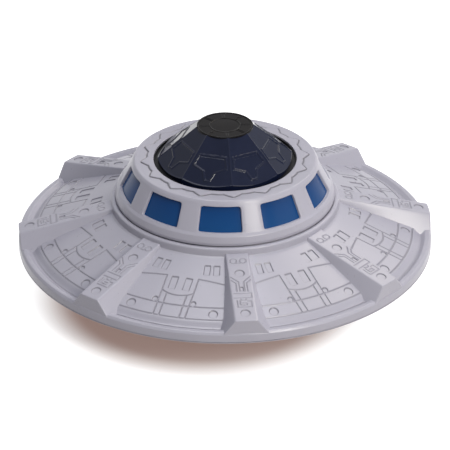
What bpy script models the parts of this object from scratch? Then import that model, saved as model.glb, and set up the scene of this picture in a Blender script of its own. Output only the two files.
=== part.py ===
"""Battery-driven toy flying saucer, built as the assembly it is on the bench.

Frame: metres, +Z up, origin on the floor under the centre of the disc.  One of the eight
ribs points along -Y, which is called the front.  The saucer stands on the two drive wheels
of a swivelling carriage and on two free wheels at the back.
"""
import math

import bmesh
import bpy
from mathutils import Matrix, Vector

# ---------------------------------------------------------------- driving dimensions (metres)
GAP = 0.0003                    # left between two solids that touch or seat on each other
RUNNING = 0.0005                # left round a shaft or a turning rim
WALL = 0.0020                   # moulded shell wall

# disc
RIM_RADIUS = 0.1500
RIM_BOTTOM = 0.0280             # lower edge of the rim above the floor
RIM_LIP = 0.0010                # flange of the lower hull that shows under the rim
RIM_HEIGHT = 0.0084             # lower edge to crest of the raised lip
LIP_WIDTH = 0.0075              # raised lip, from the rim's face inwards
CONE_RISE = 0.0225              # from the foot of the panelled cone to its top
CONE_TOP_RADIUS = 0.0830
RIB_COUNT = 8
RIB_TOP_WIDTH = 0.0155
RIB_END_WIDTH = 0.0300          # foot of a rib at the rim
RIB_ROOT_WIDTH = 0.0175         # foot of a rib at the collar
RIB_END_HEIGHT = 0.0096         # above the crest of the lip
RIB_ROOT_HEIGHT = 0.0029        # above the top of the cone

# collar, turret and dome
COLLAR_HEIGHT = 0.0062
COLLAR_WIDTH = 0.0035
SKIRT_HEIGHT = 0.0087           # turret below its windows
SKIRT_BULGE = 0.0028            # foot of the skirt outside the foot of the windows
SKIRT_INSET = 0.0032            # foot of the skirt inside the collar's outer edge
SPIGOT_FIT = 0.0014             # between the turret's spigot and the collar's bore
WINDOW_COUNT = 10
WINDOW_HEIGHT = 0.0165
WINDOW_LEAN = 0.0090            # how far the window wall leans in over its height
WINDOW_HALF_ANGLE = math.radians(11.4)
WINDOW_TURN = math.radians(-8.3)
SHOULDER_HEIGHT = 0.0043
SHOULDER_WIDTH = 0.0050
DOME_OPENING = 0.0515
DOME_RADIUS = 0.0485
DOME_SKIRT = 0.0018
DOME_RISE = 0.0238
DOME_CAP_RADIUS = 0.0202
DOME_CAP_HEIGHT = 0.0005
DOME_SIDES = 8
BEZEL_SHELF = 0.0050            # bezel under the turret's top face
BAND_THICKNESS = 0.0012

# turning gear of the turret
DECK_DROP = 0.0040              # deck below the top of the collar
POST_RADIUS = 0.0065
POST_BORE = 0.0040
POST_FLANGE = 0.0120
SPUR_WIDTH = 0.0034
SPUR_MODULE = 0.00125
TURRET_TEETH = 48
SPIN_TEETH = 12
CARRIER_THICKNESS = 0.0018
LIGHT_BOARD_RADIUS = 0.0280
LIGHT_BOARD_HEIGHT = 0.0140     # light board above the carrier
LED_COUNT = 3
LED_RADIUS = 0.0025
LED_HEIGHT = 0.0065
TURRET_SCREWS = 3

# dish
BASE_Z = 0.0060                 # flat underside above the floor
BASE_RADIUS = 0.0900
HULL_SCREWS = 4
HULL_SCREW_INSET = 0.0320       # hull screws inside the rim
BOSS_RADIUS = 0.0046
SCREW_RADIUS = 0.0011
SCREW_HEAD_RADIUS = 0.0027
SCREW_HEAD_HEIGHT = 0.0016
SCREW_LENGTH = 0.0105

# swivelling drive carriage
CARRIAGE_Y = -0.0500
CARRIAGE_RADIUS = 0.0330
CARRIAGE_WALL = 0.0016
CARRIAGE_BOTTOM = 0.0040
AXLE_GEAR_ROOM = 0.0002         # round the tips of the axle gear, over the cover
CARRIAGE_LUG_RADIUS = 0.0032
CARRIAGE_LUG_INSET = 0.0022     # middle of a screw lug inside the cup's wall
CARRIAGE_PIVOT = 0.0040
CARRIAGE_WASHER = 0.0075
WASHER_THICKNESS = 0.0012
PIVOT_STAND = 0.0006            # end of the pivot above the well's roof
WELL_CLEARANCE = 0.0008
AXLE_RADIUS = 0.0015
DRIVE_WHEEL_RADIUS = 0.0140     # over the tyre
DRIVE_WHEEL_WIDTH = 0.0075
DRIVE_TRACK = 0.0222            # centre of the carriage to the middle of a wheel
TYRE_THICKNESS = 0.0030
FINE_MODULE = 0.000625
FINE_WIDTH = 0.0028
AXLE_TEETH = 24
IDLER_BIG_TEETH = 24
IDLER_SMALL_TEETH = 8
MOTOR_TEETH = 8
IDLER_ANGLE = math.radians(60.0)        # idler seen from the axle, above +Y
MOTOR_ANGLE = math.radians(143.13)      # motor seen from the idler
MOTOR_RADIUS = 0.0075
MOTOR_LENGTH = 0.0210
MOTOR_HEADROOM = 0.0012         # between the motor and the roof of the carriage
MOTOR_BOSS_LENGTH = 0.0015
MOTOR_EDGE = 0.0008             # chamfer of a can's closed end
GEAR_SHAFT_RADIUS = 0.0010
PLATE_THICKNESS = 0.0015
PLATE_HALF = 0.0135             # half the length of a gearbox plate

# rear wheels
REAR_AXLE_ROOM = 0.0058         # rear axle behind the battery bay's wall
REAR_WHEEL_RADIUS = 0.0110
REAR_WHEEL_WIDTH = 0.0070
REAR_WHEEL_SIDE = 0.0020        # between a rear wheel and its cradle
CRADLE_WIDTH = 0.0040

# batteries, electronics and controls
CELL_RADIUS = 0.00725
CELL_LENGTH = 0.0490
CELL_COUNT = 4
CELL_SPACE = 0.0007
BAY_ROOM = 0.0057               # floor between the carriage well's wall and the bay's wall
CONTACT_THICKNESS = 0.0005
CONTACT_HEIGHT = 0.0120
DOOR_BOSS_SPACE = 0.0080
DOOR_BOSS_RADIUS = 0.0032
SPEAKER_PLACE = (0.0620, 0.0080)
SPEAKER_RADIUS = 0.0200
SPEAKER_HEIGHT = 0.0120
BOARD_PLACE = (-0.0600, 0.0080)
BOARD_SIZE = (0.0400, 0.0450, 0.0016)
BOARD_HEIGHT = 0.0050           # board above the floor of the dish
SWITCH_PLACE = (-0.0600, -0.0320)
SWITCH_TRAVEL = 0.0050
SWITCH_GRIP = (0.0060, 0.0070)
SWITCH_STEM = (0.0030, 0.0040)
SPIN_MOTOR_RADIUS = 0.0080
SPIN_MOTOR_LENGTH = 0.0185
SPIN_BOX = (0.0260, 0.0220, 0.0117)
SPIN_ROOM = 0.00126939          # between the spin motor and the wall of the carriage well

# smoothness of the round pieces
HULL_SIDES = 40
TURRET_SIDES = 40
ROUND_SIDES = 24
WHEEL_SIDES = 20
SMALL_SIDES = 12
SCREW_SIDES = 8

# ---------------------------------------------------------------- worked-out places
LIP_Z = RIM_BOTTOM + RIM_HEIGHT
CONE_FOOT_RADIUS = RIM_RADIUS - LIP_WIDTH - 0.0012
CONE_FOOT_Z = LIP_Z + 0.0003
CONE_TOP_Z = CONE_FOOT_Z + CONE_RISE
CONE_SLOPE = CONE_RISE / (CONE_FOOT_RADIUS - CONE_TOP_RADIUS)
COLLAR_RADIUS = CONE_TOP_RADIUS - 0.0005
COLLAR_Z = CONE_TOP_Z + COLLAR_HEIGHT
COLLAR_BORE = COLLAR_RADIUS - COLLAR_WIDTH
DECK_Z = COLLAR_Z - DECK_DROP
RIB_END_Z = LIP_Z + RIB_END_HEIGHT
RIB_ROOT_Z = CONE_TOP_Z + RIB_ROOT_HEIGHT

SKIRT_Z = COLLAR_Z + 2 * GAP
SILL_Z = SKIRT_Z + SKIRT_HEIGHT
SKIRT_RADIUS = COLLAR_RADIUS - SKIRT_INSET
SILL_RADIUS = SKIRT_RADIUS - SKIRT_BULGE
HEAD_Z = SILL_Z + WINDOW_HEIGHT
HEAD_RADIUS = SILL_RADIUS - WINDOW_LEAN
TOP_Z = HEAD_Z + SHOULDER_HEIGHT
SHOULDER_RADIUS = HEAD_RADIUS - SHOULDER_WIDTH
SPIGOT_RADIUS = COLLAR_BORE - SPIGOT_FIT
SPIGOT_Z = DECK_Z + 0.0013
DOME_Z = TOP_Z + GAP
DOME_SHOULDER_Z = DOME_Z + DOME_SKIRT
DOME_CAP_Z = DOME_SHOULDER_Z + DOME_RISE
DOME_TOP_Z = DOME_CAP_Z + DOME_CAP_HEIGHT

GEAR_Z = DECK_Z + 0.0008
CARRIER_Z = GEAR_Z + SPUR_WIDTH + GAP
CARRIER_RADIUS = SPIGOT_RADIUS - WALL - GAP
TURRET_SCREW_RADIUS = CARRIER_RADIUS - 0.0028
POST_TOP = CARRIER_Z + CARRIER_THICKNESS + LIGHT_BOARD_HEIGHT - GAP
LIGHT_BOARD_Z = POST_TOP + GAP
SPIN_BOX_TOP = DECK_Z - WALL - GAP
SPIN_BOX_BOTTOM = SPIN_BOX_TOP - SPIN_BOX[2]

FLOOR_Z = BASE_Z + WALL                          # inside floor of the dish
DISH_TOP = RIM_BOTTOM + RIM_LIP - 0.0001         # joint face of the lower hull
HULL_FOOT = RIM_BOTTOM + RIM_LIP + GAP - 0.0001  # joint face of the upper hull
HEAD_SEAT = DISH_TOP - 0.0049                    # where the hull screws bear
WELL_RADIUS = CARRIAGE_RADIUS + WELL_CLEARANCE
BAY_FRONT = CARRIAGE_Y + WELL_RADIUS + WALL + BAY_ROOM + WALL

# the spin drive sits as far round the turret gear as its motor needs to clear the well
SPIN_REACH = (TURRET_TEETH + SPIN_TEETH) * SPUR_MODULE / 2
SPIN_APART = WELL_RADIUS + WALL + SPIN_MOTOR_RADIUS + SPIN_ROOM
SPIN_SWING = math.acos(
    (SPIN_REACH ** 2 + CARRIAGE_Y ** 2 - SPIN_APART ** 2) / (-2 * SPIN_REACH * CARRIAGE_Y)
)
SPIN_ANGLE = math.radians(270) - SPIN_SWING      # seen from the centre, above +X
SPIN_PLACE = (SPIN_REACH * math.cos(SPIN_ANGLE), SPIN_REACH * math.sin(SPIN_ANGLE))

IDLER_REACH = (AXLE_TEETH + IDLER_SMALL_TEETH) * FINE_MODULE / 2
MOTOR_REACH = (IDLER_BIG_TEETH + MOTOR_TEETH) * FINE_MODULE / 2
AXLE_GEAR_TIP = (AXLE_TEETH / 2 + 1) * FINE_MODULE
AXLE_Z = DRIVE_WHEEL_RADIUS
IDLER_Y = CARRIAGE_Y + IDLER_REACH * math.cos(IDLER_ANGLE)
IDLER_Z = AXLE_Z + IDLER_REACH * math.sin(IDLER_ANGLE)
MOTOR_Y = IDLER_Y + MOTOR_REACH * math.cos(MOTOR_ANGLE)
MOTOR_Z = IDLER_Z + MOTOR_REACH * math.sin(MOTOR_ANGLE)
CARRIAGE_TOP = MOTOR_Z + MOTOR_RADIUS + MOTOR_HEADROOM + CARRIAGE_WALL
WELL_ROOF = CARRIAGE_TOP + 0.0010
PIVOT_TOP = WELL_ROOF + WALL + PIVOT_STAND
LUG_REACH = CARRIAGE_RADIUS - CARRIAGE_WALL - CARRIAGE_LUG_INSET
WHEEL_IN = DRIVE_TRACK - DRIVE_WHEEL_WIDTH / 2
OUTER_PLATE_X = WHEEL_IN - 0.0008 - PLATE_THICKNESS
SMALL_MESH_X = OUTER_PLATE_X - GAP - 0.0006 - FINE_WIDTH
BIG_MESH_X = SMALL_MESH_X - 0.0012 - FINE_WIDTH
INNER_PLATE_X = BIG_MESH_X - 0.0008 - PLATE_THICKNESS
MOTOR_FACE_X = INNER_PLATE_X - GAP

CELL_PITCH = 2 * CELL_RADIUS + CELL_SPACE
BAY_HALF = CELL_COUNT * CELL_PITCH / 2 + 0.0003
BAY_ROOF = FLOOR_Z + 0.0003 + 2 * CELL_RADIUS + 0.0012
CELL_Z = FLOOR_Z + 0.0003 + CELL_RADIUS
CELL_FRONT = BAY_FRONT + CONTACT_THICKNESS + 3 * GAP
CELL_BACK = CELL_FRONT + CELL_LENGTH + 0.0012
BAY_BACK = CELL_BACK + GAP + CONTACT_THICKNESS + GAP + DOOR_BOSS_SPACE
DOOR_SCREW_Y = BAY_BACK - DOOR_BOSS_SPACE / 2
CRADLE_IN = BAY_HALF + GAP
REAR_TRACK = CRADLE_IN + CRADLE_WIDTH + REAR_WHEEL_SIDE + REAR_WHEEL_WIDTH / 2
REAR_AXLE_Y = BAY_BACK + WALL + REAR_AXLE_ROOM


# faces of a wedge whose corners run low to high, inside to outside, left to right
WEDGE_FACES = ((0, 1, 3, 2), (4, 6, 7, 5), (0, 4, 5, 1), (2, 3, 7, 6), (0, 2, 6, 4), (1, 5, 7, 3))


# ---------------------------------------------------------------- mesh helpers
def clear_scene():
    for item in list(bpy.data.objects):
        bpy.data.objects.remove(item, do_unlink=True)


def material(name, colour, roughness, metallic=0.0):
    """One Principled material."""
    made = bpy.data.materials.new(name)
    made.use_nodes = True
    shader = made.node_tree.nodes["Principled BSDF"]
    shader.inputs["Base Color"].default_value = (*colour, 1.0)
    shader.inputs["Roughness"].default_value = roughness
    shader.inputs["Metallic"].default_value = metallic
    return made


def add_turned(bm, profile, sides, centre=(0.0, 0.0), turn=0.0):
    """Revolve a closed (radius, z) profile about a vertical axis through centre."""
    rings = []
    for radius, z in profile:
        if radius < 1e-7:
            pole = bm.verts.new((centre[0], centre[1], z))
            rings.append([pole] * sides)
            continue
        ring = []
        for step in range(sides):
            angle = turn + 2 * math.pi * step / sides
            x = centre[0] + radius * math.sin(angle)
            y = centre[1] - radius * math.cos(angle)
            ring.append(bm.verts.new((x, y, z)))
        rings.append(ring)
    for low, high in zip(rings, rings[1:] + rings[:1]):
        for step in range(sides):
            after = (step + 1) % sides
            corners = [low[step], low[after], high[after], high[step]]
            face = list(dict.fromkeys(corners))
            if len(face) > 2:
                bm.faces.new(face)


def add_prism(bm, outline, low, high):
    """Extrude an (x, y) outline between two heights."""
    bottom = [bm.verts.new((x, y, low)) for x, y in outline]
    top = [bm.verts.new((x, y, high)) for x, y in outline]
    bm.faces.new(bottom[::-1])
    bm.faces.new(top)
    for index in range(len(outline)):
        after = (index + 1) % len(outline)
        bm.faces.new((bottom[index], bottom[after], top[after], top[index]))


def add_box(bm, low, high):
    """Upright box between two corners."""
    outline = [(low[0], low[1]), (high[0], low[1]), (high[0], high[1]), (low[0], high[1])]
    add_prism(bm, outline, low[2], high[2])


def add_drum(bm, radius, low, high, centre=(0.0, 0.0), sides=SMALL_SIDES):
    """Solid upright cylinder."""
    add_turned(bm, [(0, low), (radius, low), (radius, high), (0, high)], sides, centre)


def add_rib(bm, azimuth, inset, foot_z):
    """One radial rib: flat top of constant width, sides that flare down to the foot."""
    frame = Matrix.Rotation(azimuth, 4, "Z")
    ends = (
        (COLLAR_RADIUS - 0.0015 + inset, RIB_ROOT_Z, RIB_ROOT_HEIGHT, RIB_ROOT_WIDTH),
        (RIM_RADIUS - 0.0002 - inset, RIB_END_Z, RIB_END_HEIGHT, RIB_END_WIDTH),
    )
    rings = []
    for radius, top, height, width in ends:
        half_top = RIB_TOP_WIDTH / 2 - inset
        flare = (width - RIB_TOP_WIDTH) / 2 / height
        half_foot = half_top + flare * (top - inset - foot_z(radius))
        places = (
            (-half_foot, foot_z(radius)),
            (half_foot, foot_z(radius)),
            (half_top, top - inset),
            (-half_top, top - inset),
        )
        rings.append([bm.verts.new(frame @ Vector((x, -radius, z))) for x, z in places])
    inner, outer = rings
    bm.faces.new(inner)
    bm.faces.new(outer[::-1])
    for index in range(4):
        after = (index + 1) % 4
        bm.faces.new((inner[index], outer[index], outer[after]))
        bm.faces.new((inner[index], outer[after], inner[after]))


def gear_outline(teeth, module, turn):
    """Tooth outline: straight-sided teeth, one module above and 1.25 below the pitch line."""
    pitch = 2 * math.pi / teeth
    crown = teeth * module / 2 + module
    root = teeth * module / 2 - 1.25 * module
    outline = []
    for tooth in range(teeth):
        middle = turn + tooth * pitch
        for share, radius in ((-0.24, root), (-0.10, crown), (0.10, crown), (0.24, root)):
            angle = middle + share * pitch
            outline.append((radius * math.cos(angle), radius * math.sin(angle)))
    return outline


def add_gear(bm, teeth, module, low, high, turn):
    """Solid spur gear between two heights."""
    add_prism(bm, gear_outline(teeth, module, turn), low, high)


def finish_object(name, bm, finish, location=(0, 0, 0), rotation=(0, 0, 0)):
    """Turn a bmesh into a named object with one material."""
    bmesh.ops.recalc_face_normals(bm, faces=bm.faces)
    mesh = bpy.data.meshes.new(name)
    bm.to_mesh(mesh)
    bm.free()
    mesh.shade_smooth()
    mesh.set_sharp_from_angle(angle=math.radians(30))
    made = bpy.data.objects.new(name, mesh)
    made.location = location
    made.rotation_euler = rotation
    if finish is not None:
        mesh.materials.append(finish)
    bpy.context.scene.collection.objects.link(made)
    return made


def shape(maker, name="tool", finish=None, **place):
    """Object from a function that fills a bmesh."""
    bm = bmesh.new()
    maker(bm)
    return finish_object(name, bm, finish, **place)


def combine(body, tool, operation):
    """Boolean one object into another and remove the tool."""
    modifier = body.modifiers.new("combine", "BOOLEAN")
    modifier.operation = operation
    modifier.object = tool
    bpy.context.view_layer.update()
    graph = bpy.context.evaluated_depsgraph_get()
    result = bpy.data.meshes.new_from_object(body.evaluated_get(graph))
    body.modifiers.clear()
    body.data = result
    bpy.data.objects.remove(tool, do_unlink=True)


def add(body, maker):
    combine(body, shape(maker), "UNION")


def cut(body, maker):
    combine(body, shape(maker), "DIFFERENCE")


def around(count, radius, start=0.0):
    """Places evenly round the centre, the first at azimuth start from the front."""
    places = []
    for step in range(count):
        angle = start + 2 * math.pi * step / count
        places.append((radius * math.sin(angle), -radius * math.cos(angle)))
    return places


def cone_z(radius):
    """Height of the panelled cone at a radius."""
    return CONE_FOOT_Z + (CONE_FOOT_RADIUS - radius) * CONE_SLOPE


RIB_STEP = 2 * math.pi / RIB_COUNT
HULL_SCREW_START = math.pi / HULL_SCREWS + RIB_STEP / 2
HULL_SCREW_PLACES = around(HULL_SCREWS, RIM_RADIUS - HULL_SCREW_INSET, HULL_SCREW_START)
TURRET_SCREW_PLACES = around(TURRET_SCREWS, TURRET_SCREW_RADIUS)


# ---------------------------------------------------------------- disc
def upper_hull(finish):
    """Disc shell: rim, raised lip, panelled cone, collar and deck, with hollow ribs."""
    lip_in = RIM_RADIUS - LIP_WIDTH
    outside = [
        (0, HULL_FOOT),
        (RIM_RADIUS, HULL_FOOT),
        (RIM_RADIUS - 0.0003, LIP_Z - 0.0016),
        (RIM_RADIUS - 0.0011, LIP_Z - 0.0004),
        (RIM_RADIUS - 0.0028, LIP_Z),
        (lip_in, LIP_Z - 0.0003),
        (CONE_FOOT_RADIUS, CONE_FOOT_Z),
        (CONE_TOP_RADIUS, CONE_TOP_Z),
        (COLLAR_RADIUS, CONE_TOP_Z + 0.0004),
        (COLLAR_RADIUS, COLLAR_Z - 0.0018),
        (COLLAR_RADIUS - 0.0012, COLLAR_Z),
        (COLLAR_BORE, COLLAR_Z),
        (COLLAR_BORE, DECK_Z),
        (0, DECK_Z),
    ]
    drop = WALL * math.sqrt(1 + CONE_SLOPE ** 2)
    inner_foot = RIM_RADIUS - LIP_WIDTH - 0.0012
    deck_edge = COLLAR_RADIUS - 0.0015
    hollow = [
        (0, HULL_FOOT - 0.0050),
        (RIM_RADIUS - WALL, HULL_FOOT - 0.0050),
        (RIM_RADIUS - WALL - 0.0003, LIP_Z - WALL - 0.0006),
        (RIM_RADIUS - WALL - 0.0012, LIP_Z - WALL),
        (inner_foot, cone_z(inner_foot) - drop),
        (deck_edge, cone_z(deck_edge) - drop),
        (deck_edge - 0.0010, DECK_Z - WALL),
        (0, DECK_Z - WALL),
    ]

    def ribs(bm):
        for step in range(RIB_COUNT):
            add_rib(bm, step * RIB_STEP, 0.0, lambda r: cone_z(r) - drop / 2)

    def rib_hollows(bm):
        for step in range(RIB_COUNT):
            add_rib(bm, step * RIB_STEP, WALL, lambda r: cone_z(r) - drop - 0.0010)

    def bosses(bm):
        for place in HULL_SCREW_PLACES:
            add_drum(bm, BOSS_RADIUS, HULL_FOOT - 0.0060, CONE_TOP_Z + 0.0100, place)

    def openings(bm):
        for place in HULL_SCREW_PLACES:
            add_drum(bm, SCREW_RADIUS + GAP, HULL_FOOT - 0.0010, HULL_FOOT + 0.0070, place, 8)
        add_drum(bm, POST_RADIUS + GAP, DECK_Z - 0.0050, DECK_Z + 0.0050, sides=16)
        add_drum(bm, GEAR_SHAFT_RADIUS + 0.0010, DECK_Z - 0.0050, DECK_Z + 0.0050, SPIN_PLACE)

    body = shape(lambda bm: add_turned(bm, outside, HULL_SIDES), "upper_hull", finish)
    add(body, ribs)
    space = shape(lambda bm: add_turned(bm, hollow, HULL_SIDES))
    add(space, rib_hollows)
    cut(space, bosses)
    combine(body, space, "DIFFERENCE")
    cut(body, openings)
    return body


def lower_hull(finish):
    """Dish under the disc, with the carriage well, battery bay, cradles and bosses."""
    depth = DISH_TOP - BASE_Z
    reach = RIM_RADIUS - BASE_RADIUS
    bowl = [
        (BASE_RADIUS + 0.06 * reach, 0.04),
        (BASE_RADIUS + 0.26 * reach, 0.30),
        (BASE_RADIUS + 0.56 * reach, 0.68),
        (BASE_RADIUS + 0.86 * reach, 0.92),
    ]
    outside = [(0, BASE_Z), (BASE_RADIUS, BASE_Z)]
    outside += [(radius, BASE_Z + share * depth) for radius, share in bowl]
    outside += [
        (RIM_RADIUS - 0.0008, RIM_BOTTOM),
        (RIM_RADIUS, RIM_BOTTOM + 0.0004),
        (RIM_RADIUS, DISH_TOP),
        (0, DISH_TOP),
    ]
    hollow = [(0, FLOOR_Z), (BASE_RADIUS - 0.0006, FLOOR_Z)]
    hollow += [(radius - 0.0006, BASE_Z + share * depth + WALL) for radius, share in bowl[:3]]
    hollow += [
        (BASE_RADIUS + 0.78 * reach, DISH_TOP + 0.0010),
        (0, DISH_TOP + 0.0010),
    ]
    well = (0, CARRIAGE_Y)

    def bosses(bm):
        for place in HULL_SCREW_PLACES:
            add_drum(bm, BOSS_RADIUS, BASE_Z, DISH_TOP + 0.0050, place)

    def walls(bm):
        add_drum(bm, WELL_RADIUS + WALL, BASE_Z + 0.0005, WELL_ROOF + WALL, well, ROUND_SIDES)
        low = (-BAY_HALF - WALL, BAY_FRONT - WALL, BASE_Z + 0.0005)
        add_box(bm, low, (BAY_HALF + WALL, BAY_BACK + WALL, BAY_ROOF + WALL))
        for side in (-1, 1):
            inner = side * CRADLE_IN
            outer = inner + side * CRADLE_WIDTH
            low = (min(inner, outer), REAR_AXLE_Y - 0.0050, BASE_Z + 0.0005)
            add_box(bm, low, (max(inner, outer), REAR_AXLE_Y + 0.0050, REAR_WHEEL_RADIUS + 0.0045))
        for side in (-1, 1):
            place = (BOARD_PLACE[0], BOARD_PLACE[1] + side * (BOARD_SIZE[1] / 2 - 0.0050))
            add_drum(bm, 0.0025, BASE_Z + 0.0005, FLOOR_Z + BOARD_HEIGHT - GAP, place, 8)

    def spaces(bm):
        add_drum(bm, WELL_RADIUS, BASE_Z - 0.0020, WELL_ROOF, well, ROUND_SIDES)
        low = (-BAY_HALF, BAY_FRONT, BASE_Z - 0.0020)
        add_box(bm, low, (BAY_HALF, BAY_BACK, BAY_ROOF))

    def holes(bm):
        pivot = CARRIAGE_PIVOT + RUNNING
        add_drum(bm, pivot, WELL_ROOF - 0.0010, WELL_ROOF + WALL + 0.0010, well)
        for place in HULL_SCREW_PLACES:
            seat = [
                (0, BASE_Z - 0.0030),
                (SCREW_HEAD_RADIUS + 2 * GAP, BASE_Z - 0.0030),
                (SCREW_HEAD_RADIUS + 2 * GAP, HEAD_SEAT),
                (SCREW_RADIUS + GAP, HEAD_SEAT),
                (SCREW_RADIUS + GAP, DISH_TOP + 0.0010),
                (0, DISH_TOP + 0.0010),
            ]
            add_turned(bm, seat, SCREW_SIDES, place)
        for side in (-1, 1):
            half = REAR_WHEEL_WIDTH / 2 + 0.0008
            reach_y = REAR_WHEEL_RADIUS + 0.0010
            low = (side * REAR_TRACK - half, REAR_AXLE_Y - reach_y, BASE_Z - 0.0020)
            add_box(bm, low, (side * REAR_TRACK + half, REAR_AXLE_Y + reach_y, FLOOR_Z + 0.0010))
        for place in around(5, 0.50 * SPEAKER_RADIUS):
            centre = (SPEAKER_PLACE[0] + place[0], SPEAKER_PLACE[1] + place[1])
            add_drum(bm, 0.0018, BASE_Z - 0.0020, FLOOR_Z + 0.0010, centre, 6)
        half = SWITCH_STEM[0] / 2 + GAP
        front = SWITCH_PLACE[1] - SWITCH_STEM[1] / 2 - GAP
        back = SWITCH_PLACE[1] + SWITCH_STEM[1] / 2 + GAP + SWITCH_TRAVEL
        low = (SWITCH_PLACE[0] - half, front, BASE_Z - 0.0020)
        add_box(bm, low, (SWITCH_PLACE[0] + half, back, FLOOR_Z + 0.0010))

    def door_boss(bm):
        place = (0, DOOR_SCREW_Y)
        add_drum(bm, DOOR_BOSS_RADIUS, FLOOR_Z + GAP, BAY_ROOF + 0.0010, place)

    def door_boss_hole(bm):
        place = (0, DOOR_SCREW_Y)
        add_drum(bm, SCREW_RADIUS + GAP, FLOOR_Z - 0.0010, FLOOR_Z + SCREW_LENGTH, place, 8)

    def axle_bores(bm):
        """Bores for the rear axle in both cradles, turned to lie along X."""
        reach = REAR_TRACK - REAR_WHEEL_WIDTH / 2
        add_drum(bm, AXLE_RADIUS + GAP, -reach, reach)

    body = shape(lambda bm: add_turned(bm, outside, HULL_SIDES), "lower_hull", finish)
    space = shape(lambda bm: add_turned(bm, hollow, HULL_SIDES))
    cut(space, bosses)
    combine(body, space, "DIFFERENCE")
    add(body, walls)
    cut(body, spaces)
    cut(body, holes)
    add(body, door_boss)
    cut(body, door_boss_hole)
    place = {"location": (0, REAR_AXLE_Y, REAR_WHEEL_RADIUS), "rotation": (0, math.pi / 2, 0)}
    combine(body, shape(axle_bores, **place), "DIFFERENCE")
    return body


def screw(name, place, seat, finish, length=SCREW_LENGTH):
    """Pan-head screw driven upwards: its head bears on the plane z = seat."""
    profile = [
        (0, -SCREW_HEAD_HEIGHT),
        (0.8 * SCREW_HEAD_RADIUS, -SCREW_HEAD_HEIGHT),
        (SCREW_HEAD_RADIUS, 0),
        (SCREW_RADIUS, 0),
        (SCREW_RADIUS, length - 0.0010),
        (0, length),
    ]
    where = (place[0], place[1], seat - GAP)
    return shape(lambda bm: add_turned(bm, profile, SCREW_SIDES), name, finish, location=where)


# ---------------------------------------------------------------- turret and dome
def turret_shell(finish):
    """Skirt, leaning window wall with ten openings, rounded shoulder and top face."""
    lean = WINDOW_LEAN / WINDOW_HEIGHT
    side = WALL * math.sqrt(1 + lean ** 2)
    outside = [
        (SPIGOT_RADIUS, SPIGOT_Z),
        (SPIGOT_RADIUS, SKIRT_Z),
        (SKIRT_RADIUS, SKIRT_Z),
        (SKIRT_RADIUS + 0.0001, SKIRT_Z + 0.0020),
        (SILL_RADIUS + 0.0015, SILL_Z - 0.0016),
        (SILL_RADIUS, SILL_Z),
        (HEAD_RADIUS, HEAD_Z),
        (HEAD_RADIUS - 0.0010, HEAD_Z + 0.45 * SHOULDER_HEIGHT),
        (HEAD_RADIUS - 0.0026, HEAD_Z + 0.82 * SHOULDER_HEIGHT),
        (SHOULDER_RADIUS, TOP_Z),
        (DOME_OPENING, TOP_Z),
    ]
    inside = [
        (DOME_OPENING, TOP_Z - WALL),
        (SHOULDER_RADIUS - 0.0005, TOP_Z - WALL),
        (HEAD_RADIUS - side, HEAD_Z),
        (SILL_RADIUS - side, SILL_Z),
        (SPIGOT_RADIUS - WALL, SKIRT_Z + 0.0010),
        (SPIGOT_RADIUS - WALL, SPIGOT_Z),
    ]

    def windows(bm):
        """Wedges that open the wall at equal angles, wider below than above."""
        for step in range(WINDOW_COUNT):
            middle = WINDOW_TURN + 2 * math.pi * step / WINDOW_COUNT
            corners = []
            for radius, z in ((SILL_RADIUS, SILL_Z + 0.0004), (HEAD_RADIUS, HEAD_Z - 0.0004)):
                for reach in (radius - 0.0080, radius + 0.0080):
                    for edge in (-WINDOW_HALF_ANGLE, WINDOW_HALF_ANGLE):
                        angle = middle + edge
                        x, y = reach * math.sin(angle), -reach * math.cos(angle)
                        corners.append(bm.verts.new((x, y, z)))
            for face in WEDGE_FACES:
                bm.faces.new([corners[index] for index in face])

    def bosses(bm):
        for place in TURRET_SCREW_PLACES:
            add_drum(bm, 0.0030, CARRIER_Z + CARRIER_THICKNESS + GAP, SILL_Z - 0.0018, place)

    def boss_holes(bm):
        low = CARRIER_Z + CARRIER_THICKNESS
        for place in TURRET_SCREW_PLACES:
            add_drum(bm, SCREW_RADIUS + GAP, low - 0.0010, low + 0.0048, place, 8)

    def wall(bm):
        add_turned(bm, outside + inside, TURRET_SIDES)

    body = shape(wall, "turret_shell", finish)
    cut(body, windows)
    add(body, bosses)
    cut(body, boss_holes)
    return body


def window_band(finish):
    """Tinted band behind the ten windows."""
    lean = WINDOW_LEAN / WINDOW_HEIGHT
    side = (WALL + GAP) * math.sqrt(1 + lean ** 2)
    low, high = SILL_Z - 0.0006, HEAD_Z + 0.0004
    foot = SILL_RADIUS - side + 0.0006 * lean - GAP / 2
    head = HEAD_RADIUS - side - 0.0004 * lean - GAP / 2
    profile = [(foot, low), (head, high), (head - BAND_THICKNESS, high), (foot - BAND_THICKNESS, low)]
    return shape(lambda bm: add_turned(bm, profile, TURRET_SIDES), "window_band", finish)


def dome_bezel(finish):
    """Dark ring in the turret's mouth: its shelf lies under the top face, the dome stands on it."""
    mouth = DOME_OPENING - GAP
    under = TOP_Z - WALL - GAP
    profile = [
        (DOME_RADIUS - 0.0060, under - 0.0015),
        (mouth + BEZEL_SHELF, under - 0.0015),
        (mouth + BEZEL_SHELF, under),
        (mouth, under),
        (mouth, TOP_Z - 0.0003),
        (DOME_RADIUS - 0.0060, TOP_Z - 0.0003),
    ]
    return shape(lambda bm: add_turned(bm, profile, ROUND_SIDES), "dome_bezel", finish)


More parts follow.
